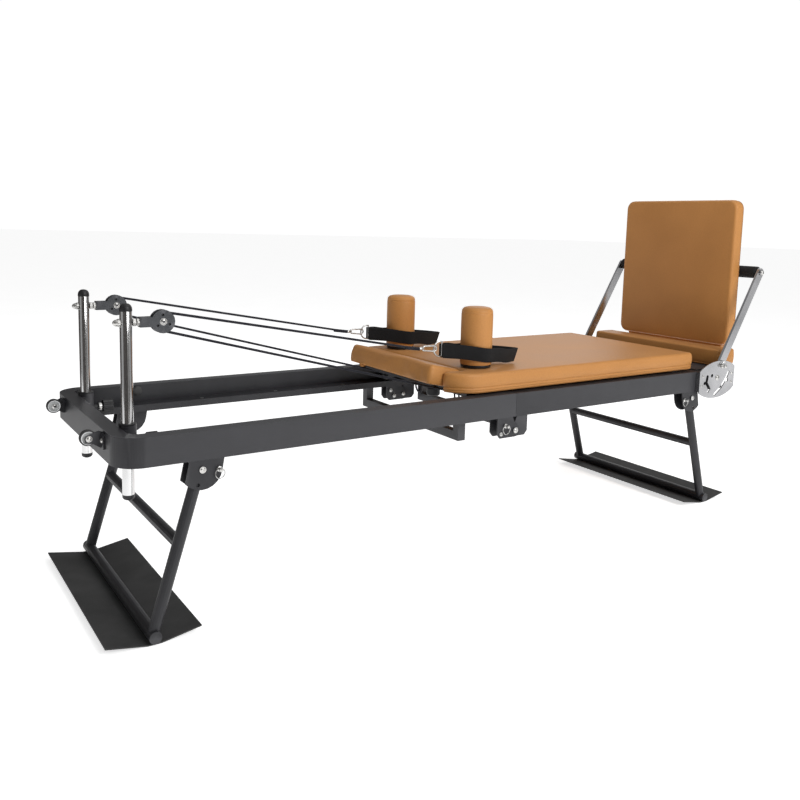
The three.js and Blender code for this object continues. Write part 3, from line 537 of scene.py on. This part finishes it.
def inset(points, distance):
    ahead = np.roll(points, -1, 0) - np.roll(points, 1, 0)
    return points + left_of(ahead) * distance


def wall_profile(thick, edge, seams, bulge):
    """(inset, height) up a cushion's side: tucked foot, sewn channels, swelling wall and soft top edge."""
    profile = list(FOOT_TUCK)
    low = 6
    for seam in seams:
        profile += [(depth, seam + rise) for depth, rise in SEWN_CHANNEL]
        low = profile[-1][1]
    high = thick - edge
    for k in range(1, 7):
        share = k / 7
        profile.append((-bulge * math.sin(math.pi * share), low + (high - low) * share))
    for k in range(7):
        angle = math.radians(90 * k / 6)
        profile.append((edge * (1 - math.cos(angle)), high + edge * math.sin(angle)))
    return profile


def crowned_top(rim, crown):
    """Fills a rim with triangles. Returns their points, how far each rises, and the triangles."""
    low, high = rim.min(0), rim.max(0)
    grid = [
        (u, v)
        for u in np.arange(low[0] + CROWN_GRID / 2, high[0], CROWN_GRID)
        for v in np.arange(low[1] + CROWN_GRID / 2, high[1], CROWN_GRID)]
    count = len(rim)
    edges = [(k, (k + 1) % count) for k in range(count)]
    points = [Vector(p) for p in (*rim, *grid)]
    spots, _, triangles, _, _, _ = delaunay_2d_cdt(points, edges, [list(range(count))], 1, 1e-5)
    places = np.array([(p.x, p.y) for p in spots])
    gap = np.min(np.linalg.norm(places[:, None] - rim[None], axis=2), axis=1)
    return places, crown * (1 - np.exp(-gap / CROWN_REACH)), triangles


def cushion(name, outline, thick, place, crown, edge, seams, bulge=1.5):
    """A crowned, closed cushion. place turns (u, v, height) in millimetres into a bench point."""
    profile = wall_profile(thick, edge, seams, bulge)
    rings = [inset(outline, depth) for depth, _ in profile]
    count = len(outline)
    points = [(u, v, height) for ring, (_, height) in zip(rings, profile) for u, v in ring]
    faces = ring_faces(len(rings), count)
    base = len(points)
    places, rises, triangles = crowned_top(rings[-1], crown)
    points += [(u, v, profile[-1][1] + rise) for (u, v), rise in zip(places, rises)]
    faces += [tuple(base + i for i in triangle) for triangle in triangles]
    faces.append(tuple(reversed(range(count))))
    mesh = bpy.data.meshes.new(name)
    mesh.from_pydata([tuple(at(*place(*p))) for p in points], [], faces)
    work = bmesh.new()
    work.from_mesh(mesh)
    bmesh.ops.remove_doubles(work, verts=work.verts, dist=2e-5)
    bmesh.ops.triangulate(work, faces=[f for f in work.faces if len(f.verts) > 4])
    loose = [v for v in work.verts if not v.link_faces]
    bmesh.ops.delete(work, geom=loose, context="VERTS")
    bmesh.ops.recalc_face_normals(work, faces=work.faces)
    work.to_mesh(mesh)
    work.free()
    mesh.shade_smooth()
    return new_object(name, mesh)


def level(base):
    """The place of a cushion that lies flat, with its underside at height base."""
    return lambda u, v, h: (u, v, base + h)


def upright(back):
    """The place of a cushion that stands up and faces the pulleys, with its back at X = back."""
    return lambda u, v, h: (back - h, u, v)


def carriage_outline():
    """The carriage pad from above: its front corners sweep round to the notch that the headrest fills."""
    front, rear, half, radius = 875.0, 1862, 283.0, 90.0
    notch_rear, notch_half = 955.0, 215.0
    meet = math.acos((notch_half - half + radius) / radius)
    far = []
    for k in range(11):
        angle = math.pi / 2 + meet * (k / 10)
        far.append((front + radius + radius * math.cos(angle), half - radius + radius * math.sin(angle)))
    near = [(u, -v) for u, v in reversed(far)]
    box = rounded_box(1500, rear, -half, half, (15, 15, 15, 15))
    rear_corners = box[CORNER_POINTS:3 * CORNER_POINTS]
    return [*rear_corners, *far, (notch_rear, notch_half), (notch_rear, -notch_half), *near]


def make_carriage_pad():
    outline = soften(densify(carriage_outline(), 8.0), 2)
    pad = cushion("carriage_cushion", outline, 55.0, level(466.5), crown=2.6, edge=10.0, seams=(7.0, 15.0))
    dress(pad, "carriage", "tan_upholstery", replaces=["carriage_pad"])


def tipped(u, v, z):
    """A point of the level headrest, tipped up about its upper rear edge."""
    hinge_x, hinge_z = HEADREST_HINGE
    x, up = u - hinge_x, z - hinge_z
    cos, sin = math.cos(HEADREST_TILT), math.sin(HEADREST_TILT)
    return (hinge_x + x * cos + up * sin, v, hinge_z - x * sin + up * cos)


def bump_at(u, v, u0, v0, wide, long):
    """1 at (u0, v0), and smoothly less round it."""
    return math.exp(-((u - u0) / wide) ** 2 - ((v - v0) / long) ** 2)


def headrest_place(u, v, h):
    """The headrest's vinyl is slack: its front face has long folds, and its top a few shallow dents."""
    lift = h / 56.0
    on_face = math.exp(-(max(0.0, u - 846) / 30) ** 2)
    fold = 2.4 * math.sin(v / 26.0 + 2.2 * lift) * math.exp(-((v + 60) / 110) ** 2)
    fold += 1.3 * math.sin(v / 12.0 - 3.0 * lift) * math.exp(-((v + 120) / 60) ** 2)
    middle = math.sin(math.pi * min(1.0, max(0.0, lift)))
    button = 3.0 * bump_at(lift * 40, v, 17, -168, 9, 9)
    push = on_face * (fold * middle - button)
    dent = 3.6 * bump_at(u, v, 872, -176, 12, 11) + 2.0 * bump_at(u, v, 855, 30, 16, 40)
    dent += 1.4 * math.sin(v / 40.0) * bump_at(u, v, 850, 0, 30, 220)
    return tipped(u - push, v, 466.5 + h - dent * lift)


def make_headrest():
    outline = soften(densify(rounded_box(846, 950, -211, 211, (10, 6, 6, 10)), 6.0), 2)
    pad = cushion(
        "headrest_cushion", outline, 54.0, headrest_place, crown=2.4, edge=12.0, seams=(), bulge=2.2)
    dress(pad, "headrest", "tan_upholstery", replaces=["headrest_pad"])


def make_foot_pad():
    outline = soften(densify(rounded_box(1998, 2088, -283, 283, (12, 12, 12, 12)), 6.0), 2)
    pad = cushion("foot_cushion", outline, 58.0, level(463.6), crown=2.0, edge=7.5, seams=(7.0,))
    dress(pad, "rear_half", "tan_upholstery", replaces=["foot_pad"])


def plate_strip(name, path, y, width, thick, body):
    """A bent steel strip: a path in XZ, thickened and drawn across Y."""
    line = np.array(path, float)
    normal = left_of(np.gradient(line, axis=0))
    upper = line + normal * thick / 2
    lower = line - normal * thick / 2
    section = [*upper, *lower[::-1]]
    count = len(section)
    vertices = [at(x, y + way * width / 2, z) for way in (-1, 1) for x, z in section]
    faces = [(k, (k + 1) % count, count + (k + 1) % count, count + k) for k in range(count)]
    for edge in (0, count):
        for k in range(len(line) - 1):
            faces.append(tuple(edge + i for i in (k, k + 1, count - 2 - k, count - 1 - k)))
    obj = mesh_object(name, vertices, faces, 30)
    bevel = obj.modifiers.new("bevel", "BEVEL")
    bevel.width = 0.0006
    bevel.segments = 2
    return dress(obj, body, "satin_black_steel")


def make_jump_board():
    """The board, the lip that closes the view between it and the foot pad, and its two hooks."""
    outline = soften(densify(rounded_box(-243, 243, 524.8, 1030, (30, 30, 30, 30)), 8.0), 1)
    board = cushion(
        "jump_board_cushion", outline, 45.0, upright(2136.5), crown=2.4, edge=9.0, seams=(5.5,), bulge=1.4)
    dress(board, "board", "tan_upholstery", replaces=["jump_board"])
    outline = soften(densify(rounded_box(-212, 212, 512, 556, (12, 12, 12, 12)), 8.0), 1)
    lip = cushion(
        "jump_board_lip", outline, 26.0, upright(2132), crown=0.6, edge=6.0, seams=(5.5,), bulge=0.6)
    dress(lip, "board", "tan_upholstery")
    hook = [(2135.5, 770), (2135.5, 801), (2138, 806.5), (2150, 808), (2168, 808), (2178, 806), (2181, 800),
            (2181, 781)]
    for label, side in SIDES:
        y = side * 150
        plate_strip(f"board_hook_{label}", hook, y, 28, 3.0, "board")
        for k, z in enumerate((778, 792)):
            bolt(f"board_hook_bolt_{label}_{k}", (2137.4, y, z), (1, 0, 0), "board", 4.0, 2.6)


make_carriage_pad()
make_headrest()
make_foot_pad()
make_jump_board()


# ---- shoulder rests, straps and their hardware ----
def make_shoulder_rest(label, side):
    """A padded roll with a seam near its top, on a plastic base with a peg."""
    centre = (REST_X, side * REST_Y, REST_Z)
    body = f"rest_{label}"
    roll = [(0, 7.5), (40, 7.5), (43.6, 8.5), (44.2, 12), (44.6, 60), (44.6, 110), (44.4, 148), (43.9, 151),
            (43.3, 152.2), (44.0, 153.6), (43.4, 158), (41.2, 162.5), (36.5, 166.4), (28, 168.4), (14, 169.3),
            (0, 169.6)]
    rest = dress(lathe(f"rest_cushion_{label}", roll, centre, (0, 0, 1), 64), body, "tan_upholstery",
                 replaces=[f"shoulder_rest_{label}"])
    base = [(0, 0.4), (40, 0.4), (42.5, 1.4), (42.8, 5.5), (41.5, 7.6), (0, 7.6)]
    dress(lathe(f"rest_base_{label}", base, centre, (0, 0, 1), 48), body, "black_plastic")
    peg = [(0, -61.5), (7, -61.5), (8.8, -59.5), (8.8, 0.6), (0, 0.6)]
    dress(lathe(f"rest_peg_{label}", peg, centre, (0, 0, 1), 24), body, "zinc_steel")


def strap_half(way, bow):
    """One leg of the webbing, seen from above the rest: from the ring, round the rest, to the tip."""
    ring, tip = (-119.0, 4.0), (136.0, 3.0)
    leave = math.atan2(ring[1], ring[0]) - math.acos(STRAP_BEND / math.hypot(*ring))
    meet = math.atan2(tip[1], tip[0]) + math.acos(STRAP_BEND / math.hypot(*tip))
    touch = (STRAP_BEND * math.cos(leave), STRAP_BEND * math.sin(leave))
    part = (STRAP_BEND * math.cos(meet), STRAP_BEND * math.sin(meet))
    points = straight(ring, touch, 8)[:-1]
    for k in range(11):
        angle = leave + (meet - leave) * k / 10
        points.append((STRAP_BEND * math.cos(angle), STRAP_BEND * math.sin(angle)))
    for k in range(1, 11):
        share = k / 10
        x, y = (a + (b - a) * share for a, b in zip(part, tip))
        points.append((x, y + bow * math.sin(math.pi * share) ** 1.2))
    return [(x, way * y) for x, y in points]


def strap_height(x):
    """The height of the webbing's middle: it drops away from the ring."""
    return 563 - (x - REST_X) * STRAP_SLOPE


def make_strap(label, side):
    """The webbing loop round a shoulder rest, with its sewn patch on each side of the ring."""
    near, far = strap_half(-1, 5.0), strap_half(1, 15.0)
    line = np.array([*near, (139.0, -1.4), (139.0, 1.4), *reversed(far)])
    outward = -left_of(np.gradient(line, axis=0))
    section = [(-0.5, 0), (-0.47, 0.5), (0.0, 0.62), (0.47, 0.5), (0.5, 0), (0.47, -0.5), (0.0, -0.38),
               (-0.47, -0.5)]
    vertices = []
    for (x, y), (out_x, out_y) in zip(line, outward):
        open_top = 7.0 / (1 + math.exp(-(x - 30) / 22))       # the free end gapes at its top
        wave = 1.2 * math.sin(x / 17.0 + y / 30.0)
        for up, out in section:
            offset = out * STRAP_THICK + (up + 0.5) * open_top
            lean = (up + 0.5) * 6.0 * max(0.0, (x - 90) / 49)
            z = strap_height(REST_X + x) + up * STRAP_WIDTH + wave
            vertices.append(at(REST_X + x + out_x * offset + lean, side * REST_Y + y + out_y * offset, z))
    faces = ring_faces(len(line), len(section)) + end_faces(len(line), len(section))
    dress(mesh_object(f"strap_webbing_{label}", vertices, faces, 40), "carriage", "black_webbing",
          replaces=[f"strap_loop_{label}"])
    for way, tag in ((-1, "a"), (1, "b")):
        rows = [(889 + 5.5 * k, side * REST_Y + way * (6.6 + 1.7 * k)) for k in range(9)]
        make_patch(f"strap_patch_{label}_{tag}", rows)
        for place, row in (("low", -14.0), ("high", 14.0)):
            thread = [(x, y + way * 1.5, strap_height(x) + row) for x, y in rows]
            dress(sweep(f"strap_stitch_{label}_{tag}_{place}", thread, 0.45, 6), "carriage", "black_webbing")
    make_ring(label, side)


def make_patch(name, rows):
    """A short second layer of webbing, standing on edge along bench (x, y) points."""
    width, thick = 37.0, 2.2
    line = np.array(rows, float)
    normal = left_of(np.gradient(line, axis=0))
    section = [(-0.5, 0), (-0.46, 0.5), (0.46, 0.5), (0.5, 0), (0.46, -0.5), (-0.46, -0.5)]
    vertices = [
        at(x + n[0] * out * thick, y + n[1] * out * thick, strap_height(x) + up * width)
        for (x, y), n in zip(line, normal) for up, out in section]
    faces = ring_faces(len(line), len(section)) + end_faces(len(line), len(section))
    dress(mesh_object(name, vertices, faces, 30), "carriage", "black_webbing")


def make_ring(label, side):
    """The D ring in the strap's end, and the snap hook and splice that join it to the rope."""
    y, middle, bar = side * 193.5, 581.0, 892.0
    ring = [(bar, y, middle + z) for z in (-20, -13, -6, 0, 6, 13, 20)]
    ring += arc((bar - 6, middle), 20.8, 75, 285, 20, y)
    dress(sweep(f"strap_ring_{label}", ring, 2.2, 10, closed=True), "carriage", "zinc_steel")
    hook = [(826, y, 586)]
    hook += arc((834, 586), 5, 150, 90, 4, y)
    hook += arc((866, 583), 7.5, 88, -88, 10, y)
    hook += arc((834, 584), 5, -90, -150, 4, y)
    dress(sweep(f"snap_hook_{label}", hook, 2.3, 10, closed=True), "carriage", "zinc_steel")
    swivel = [(0, -7), (3.5, -7), (4.6, -5), (4.6, 3), (3.4, 5), (2.6, 9), (0, 9)]
    dress(lathe(f"snap_swivel_{label}", swivel, (823, y, 585.6), (1, 0, 0), 20), "carriage", "zinc_steel")
    slope = (UPPER_END[1] - 690.0) / (UPPER_END[0] - PULLEY[0]) * 0.9
    stations = (772, 776, 782, 790, 798, 806, 812, 817)
    splice = [(x, y, UPPER_END[1] + (x - UPPER_END[0]) * slope) for x in stations]
    dress(sweep(f"rope_splice_{label}", splice, 4.8, 12), "carriage", "black_cord")


for rest_label, rest_side in SIDES:
    make_shoulder_rest(rest_label, rest_side)
    make_strap(rest_label, rest_side)


# ---- springs ----
def make_spring(label, side):
    """A resistance spring, coiled from the rear frame half to the carriage's spring hook."""
    y, z = side * 80.0, SPRING_Z
    radius, wire, turns, per_turn = 8.4, 1.5, 44, 12
    start, end = 1432.0, 1944.0
    coil = []
    for k in range(turns * per_turn + 1):
        angle = 2 * math.pi * k / per_turn
        x = start + (end - start) * k / (turns * per_turn)
        coil.append((x, y + radius * math.cos(angle), z + radius * math.sin(angle)))
    lead_in = [(1421, y, z - 4), (1423, y, z), (1428, y, z)]
    lead_out = [(1948, y, z), (1953, y, z), (1956, y, z - 4)]
    spring = sweep(f"spring_coil_{label}", lead_in + coil + lead_out, wire, 6, smooth=60)
    spring.data.materials.append(MATERIALS["zinc_steel"])
    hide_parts(f"resistance_spring_{label}")
    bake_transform(spring)


for spring_label, spring_side in SIDES:
    make_spring(spring_label, spring_side)


# ---- posts and wheels ----
def make_post(label, side):
    """A chromed post with black ends, and the axle, stud and nuts of the pulley block it carries."""
    body = f"post_{label}"
    y = side * POST_Y
    foot_of_post = (POST_X, y, 0)
    upward, along = (0, 0, 1), (1, 0, 0)
    pulley_x, pulley_z = PULLEY
    tube = [(0, 303), (12.4, 303), (13, 303.8), (13, 712.6), (12.6, 713.4), (0, 713.4)]
    dress(lathe(f"post_tube_{label}", tube, foot_of_post, upward, 48), body, "polished_chrome",
          replaces=[f"pulley_post_{label}"])
    cap = [(0, 712.5), (13.5, 712.5), (13.6, 717), (12.8, 721.5), (10.5, 725.8), (6.5, 728.8), (0, 730)]
    dress(lathe(f"post_cap_{label}", cap, foot_of_post, upward), body, "black_plastic")
    foot = [(0, 296.2), (7, 296.8), (11, 299), (13.3, 302.5), (13.4, 309), (0, 309)]
    dress(lathe(f"post_foot_{label}", foot, foot_of_post, upward), body, "black_plastic")
    lip = [(13.2, 463.5), (18, 463.5), (18.6, 465), (18.6, 468), (17.6, 469.4), (13.4, 469.4)]
    dress(hoop(f"sleeve_lip_{label}", lip, foot_of_post, upward), "front_half", "black_plastic")
    bolt(f"pulley_axle_{label}", (pulley_x, y + side * 9.9, pulley_z), (0, side, 0), body, 6.4, 3.6)
    bolt(f"pulley_axle_back_{label}", (pulley_x, y - side * 9.9, pulley_z), (0, -side, 0), body, 6.4, 3.6)
    pitch, threads = 1.55, 28
    stud = [(0, 38)]
    stud += [(4.7 if k % 2 else 4.1, 38 + pitch * k) for k in range(threads)]
    stud.append((0, 38 + pitch * (threads - 1)))
    dress(lathe(f"pulley_stud_{label}", stud, (28, y, pulley_z), along, 20), body, "zinc_steel")
    acorn = [(0, -14.5), (2.6, -14.0), (5.2, -12.0), (6.9, -8.6), (7.4, -5.0), (8.6, -4.2), (9.0, 0.4),
             (0, 0.4)]
    dress(lathe(f"pulley_acorn_{label}", acorn, (38.4, y, pulley_z), along, 20), body, "zinc_steel")
    nut = [(0, -3.6), (7.6, -3.6), (9.2, -2.6), (9.2, 2.6), (7.6, 3.6), (0, 3.6)]
    for k, x in enumerate((69.2, 77.4)):
        dress(lathe(f"pulley_nut_{label}_{k}", nut, (x, y, pulley_z), along, 6), body, "zinc_steel")


def mirrored(profile, crest=()):
    """A profile that runs up one face of a wheel, over its crest and down the other face."""
    return [*profile, *crest, *((radius, -height) for radius, height in reversed(profile))]


def make_wheel(label, side):
    """A transport wheel's tyre, hub and white ring, with the bolts of its bracket."""
    body = f"wheel_{label}"
    x, z = WHEEL
    centre, across = (x, side * 176, z), (0, 1, 0)
    tyre = mirrored([(12.6, -5.5), (14.6, -6.8), (16.2, -6.4), (17.3, -4.6)], crest=[(17.5, 0)])
    dress(hoop(f"wheel_tyre_{label}", tyre, centre, across, 48), body, "black_rubber",
          replaces=[f"transport_wheel_{label}"])
    hub = mirrored([(3.9, -6.2), (6.0, -6.2), (7.2, -5.0), (10.4, -5.0), (11.4, -6.4), (12.8, -6.2)])
    dress(hoop(f"wheel_hub_{label}", hub, centre, across), body, "grey_wheel")
    ring = mirrored([(12.9, -6.9), (14.6, -7.3)])
    dress(hoop(f"wheel_ring_{label}", ring, centre, across), body, "grey_wheel", material=WHITE_RING)
    bolt(f"wheel_bolt_{label}", (x, side * 168.4, z), (0, -side, 0), "front_half", 4.6, 2.4)
    bolt(f"wheel_bolt_out_{label}", (x, side * 189.8, z), (0, side, 0), "front_half", 5.4, 3.4)
    bolt(f"wheel_bracket_bolt_{label}", (-4.0, side * 198, 438), (-1, 0, 0), "front_half", 5.0, 3.2)


for post_label, post_side in SIDES:
    make_post(post_label, post_side)
    make_wheel(post_label, post_side)


# ---- pull rings, bolts, bumpers and screws ----
def pull_ring(name, centre, side, body, radius):
    """A wire ring hanging through a plunger's waist. centre is the ring's top."""
    x, y, z = centre
    points = []
    for k in range(28):
        angle = 2 * math.pi * k / 28
        twist = side * 1.5 * math.sin(2 * angle)
        points.append((x + radius * math.cos(angle), y + twist, z - radius + radius * math.sin(angle)))
    dress(sweep(name, points, 1.1, 8, closed=True), body, "zinc_steel")


def make_leg_fixings(label, side):
    for name, x, inward in (("front", 180, 1), ("rear", 1845, -1)):
        bolt(f"{name}_leg_bolt_{label}", (x, side * 302.3, 374), (0, side, 0), f"{name}_half", 6.0, 2.6)
        pull_ring(f"{name}_leg_ring_{label}", (x + inward * 38, side * 305.6, 372), side,
                  f"{name}_leg_lock_{label}", 11)


def make_fold_fixings(label, side):
    outward, body = (0, side, 0), "front_half"
    bolt(f"fold_bolt_{label}", (1076, side * 301.8, 356), outward, body, 6.5, 3.2)
    bolt(f"fold_bolt_small_{label}", (1026, side * 299, 350), outward, body, 4.5, 2.8)
    inner = min(abs(corner[1]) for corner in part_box(f"fold_bracket_front_{label}")) * 1000
    for k, (x, z) in enumerate(((1076, 356), (1040, 352), (1026, 372))):
        bolt(f"fold_bolt_inner_{label}_{k}", (x, side * inner, z), (0, -side, 0), body, 5.0, 3.0)
    pull_ring(f"fold_lock_ring_{label}", (1040, side * 305.2, 373), side, f"fold_lock_{label}", 12)


def make_footbar_fixings(label, side):
    outward = (0, side, 0)
    pivot_x, pivot_z = FOOTBAR_PIVOT
    grip_x, grip_z = GRIP
    for k, (x, z) in enumerate(((1872.6, 446.7), (1868.4, 415.2), (2026.4, 446.4), (2027.4, 417.0))):
        bolt(f"plate_screw_{label}_{k}", (x, side * 316.5, z), outward, "rear_half", 3.8, 2.4)
    pull_ring(f"footbar_ring_{label}", (1974, side * 323.5, 490), side, f"footbar_lock_{label}", 9)
    bolt(f"footbar_end_{label}", (grip_x, side * 315, grip_z), outward, "footbar", 7.0, 4.2)
    bolt(f"footbar_pivot_{label}", (pivot_x, side * 316.4, pivot_z), outward, "rear_half", 8.0, 4.6)


def make_track_fixings(label, side):
    """The clamp knob's collar, the rubber bumpers that end the carriage's travel, and the tracks' screws."""
    collar = [(8.1, -3), (9.6, -3), (9.9, 0), (9.6, 3), (8.1, 3)]
    dress(hoop(f"clamp_collar_{label}", collar, (86, side * POST_Y, 427), (1, 0, 0), 28),
          f"clamp_{label}", "zinc_steel")
    bumper = [(0, 0), (12.5, 0), (13, 1.2), (12.4, 6), (9.5, 8.6), (4, 9.4), (0, 9.4)]
    for end, x in (("front", 201), ("rear", 1905)):
        dress(lathe(f"{end}_bumper_{label}", bumper, (x, side * 263.9, 444), (0, -side, 0), 28),
              f"{end}_half", "black_rubber")
    screw = [(0, 0), (5.6, 0), (5.6, 0.14), (5.0, 0.22), (2.4, 0.22), (2.1, 0.06), (0, 0.06)]
    for k, x in enumerate((374, 600, 830)):
        dress(lathe(f"track_screw_{label}_{k}", screw, (x, side * 236, 413), (0, 0, 1), 20),
              "front_half", "zinc_steel")


for fix_label, fix_side in SIDES:
    make_leg_fixings(fix_label, fix_side)
    make_fold_fixings(fix_label, fix_side)
    make_footbar_fixings(fix_label, fix_side)
    make_track_fixings(fix_label, fix_side)


# ---- the footbar's grip and the ropes' spare ends ----
def make_grip():
    end = [(13.2, -298.8), (18.6, -298.8), (20.2, -296.5), (20.4, -290)]
    grip = hoop("footbar_foam", mirrored(end), (GRIP[0], 0, GRIP[1]), (0, 1, 0))
    dress(grip, "footbar", "grip_foam", replaces=["footbar_grip"])


def between(a, b, c, d, t):
    """A value from b to c as t goes from 0 to 1, smooth with its neighbours a and d."""
    return 0.5 * (
        2 * b + (c - a) * t + (2 * a - 5 * b + 4 * c - d) * t * t + (3 * b - a - 3 * c + d) * t ** 3)


def smooth_curve(points, steps):
    """A smooth line through points, with steps to each span."""
    curve = []
    last = len(points) - 1
    for i in range(last):
        axes = list(zip(*(points[max(0, min(last, i + offset))] for offset in (-1, 0, 1, 2))))
        for s in range(steps):
            curve.append(tuple(between(*axis, s / steps) for axis in axes))
    curve.append(points[-1])
    return curve


def rope_loop(name, x, y, z):
    """A short tail of rope that hangs in a loop under the carriage's front beam."""
    offsets = [(-1, 0, 22), (-3, -4, 8), (-5, -9, -10), (-2, -12, -24), (6, -11, -30), (13, -7, -22),
               (14, -3, -6), (9, -1, 10), (3, 0, 22)]
    points = [(x + dx, y + dy, z + dz) for dx, dy, dz in offsets]
    dress(sweep(name, smooth_curve(points, 4), 2.6, 10), "carriage", "black_cord")


make_grip()
for loop_label, loop_side in SIDES:
    rope_loop(f"rope_tail_{loop_label}", REST_X, loop_side * 100, 430)


# ---- finishes on the CAD nodes that stay ----
def finish_cad_nodes():
    slots = {entry["node"]: entry["material_slot"] for entry in frame["record"]["subparts"]}
    for name, obj in frame["nodes"].items():
        if obj.hide_render:
            continue
        material = MATERIALS[slots[name]]
        if name.startswith("footbar_lock_plate") or name == "footbar":
            material = PLATE_STEEL
        if name.startswith("pulley_block"):
            material = GUNMETAL
        obj.data.materials.clear()
        obj.data.materials.append(material)
        obj.data.shade_smooth()
        obj.data.set_sharp_from_angle(angle=math.radians(35))


finish_cad_nodes()


# ---- floor, reflections and light, in metres ----
def stage_piece(name, vertices, faces, material):
    mesh = bpy.data.meshes.new(name)
    mesh.from_pydata(vertices, [], faces)
    mesh.materials.append(material)
    obj = new_object(name, mesh)
    return obj


def make_floor():
    row = FLOOR_STEPS + 1
    cell = FLOOR_HALF / FLOOR_STEPS * 2
    lines = [k * cell - FLOOR_HALF for k in range(row)]
    vertices = [(x, y, FLOOR_Z) for y in lines for x in lines]
    faces = [(j * row + i, j * row + i + 1, (j + 1) * row + i + 1, (j + 1) * row + i)
             for j in range(FLOOR_STEPS) for i in range(FLOOR_STEPS)]
    n = Nodes("floor_paint")
    speck = n.texture("ShaderNodeTexNoise", Scale=3.0, Detail=2.0)
    paint = n.colours(speck.outputs["Fac"], (0.84, 0.84, 0.84), (0.88, 0.88, 0.88))
    n.link(paint, n.shader.inputs["Base Color"])
    set_shader(n.shader, Roughness=0.9, Emission_Color=(1, 1, 1, 1), Emission_Strength=0.62)
    stage_piece("floor", vertices, faces, n.material)


def dark_card(name, start, end):
    """An upright dark screen that only reflections see, for the streaks in the polished metal."""
    steps = 8
    turns = [math.radians(start + (end - start) * k / steps) for k in range(steps + 1)]
    vertices = [
        (CARD_RADIUS * math.cos(a), CARD_RADIUS * math.sin(a), z) for z in (0.0, CARD_HEIGHT) for a in turns]
    faces = [(k, k + 1, steps + 2 + k, steps + 1 + k) for k in range(steps)]
    n = Nodes(name + "_cloth")
    weave = n.texture("ShaderNodeTexNoise", Scale=4.0, Detail=2.0)
    cloth = n.colours(weave.outputs["Fac"], (0.03, 0.028, 0.026), (0.08, 0.07, 0.065))
    n.link(cloth, n.shader.inputs["Base Color"])
    card = stage_piece(name, vertices, faces, n.material)
    for ray in ("camera", "diffuse", "shadow", "transmission", "volume_scatter"):
        setattr(card, "visible_" + ray, False)


def area_light(name, place, target, size, power):
    data = bpy.data.lights.new(name, "AREA")
    data.shape = "RECTANGLE"
    data.size, data.size_y = size
    data.energy = power
    light = bpy.data.objects.new(name, data)
    light.location = place
    light.rotation_euler = (Vector(target) - Vector(place)).to_track_quat("-Z", "Y").to_euler()
    bpy.context.scene.collection.objects.link(light)


def make_room():
    """A white room for the camera, and a dimmer one for the light that falls on the object."""
    world = bpy.data.worlds.new("studio")
    bpy.context.scene.world = world
    world.use_nodes = True
    tree = world.node_tree
    background = tree.nodes["Background"]
    background.inputs["Color"].default_value = (1, 1, 1, 1)
    path = tree.nodes.new("ShaderNodeLightPath")
    brightness = tree.nodes.new("ShaderNodeMapRange")
    brightness.inputs["To Min"].default_value = ROOM_LIGHT
    brightness.inputs["To Max"].default_value = ROOM_SEEN
    tree.links.new(path.outputs["Is Camera Ray"], brightness.inputs["Value"])
    tree.links.new(brightness.outputs["Result"], background.inputs["Strength"])
    bpy.context.scene.view_settings.view_transform = "Standard"


make_floor()
for dark_card_values in DARK_CARDS:
    dark_card(*dark_card_values)
make_room()
for light_values in LIGHTS:
    area_light(*light_values)
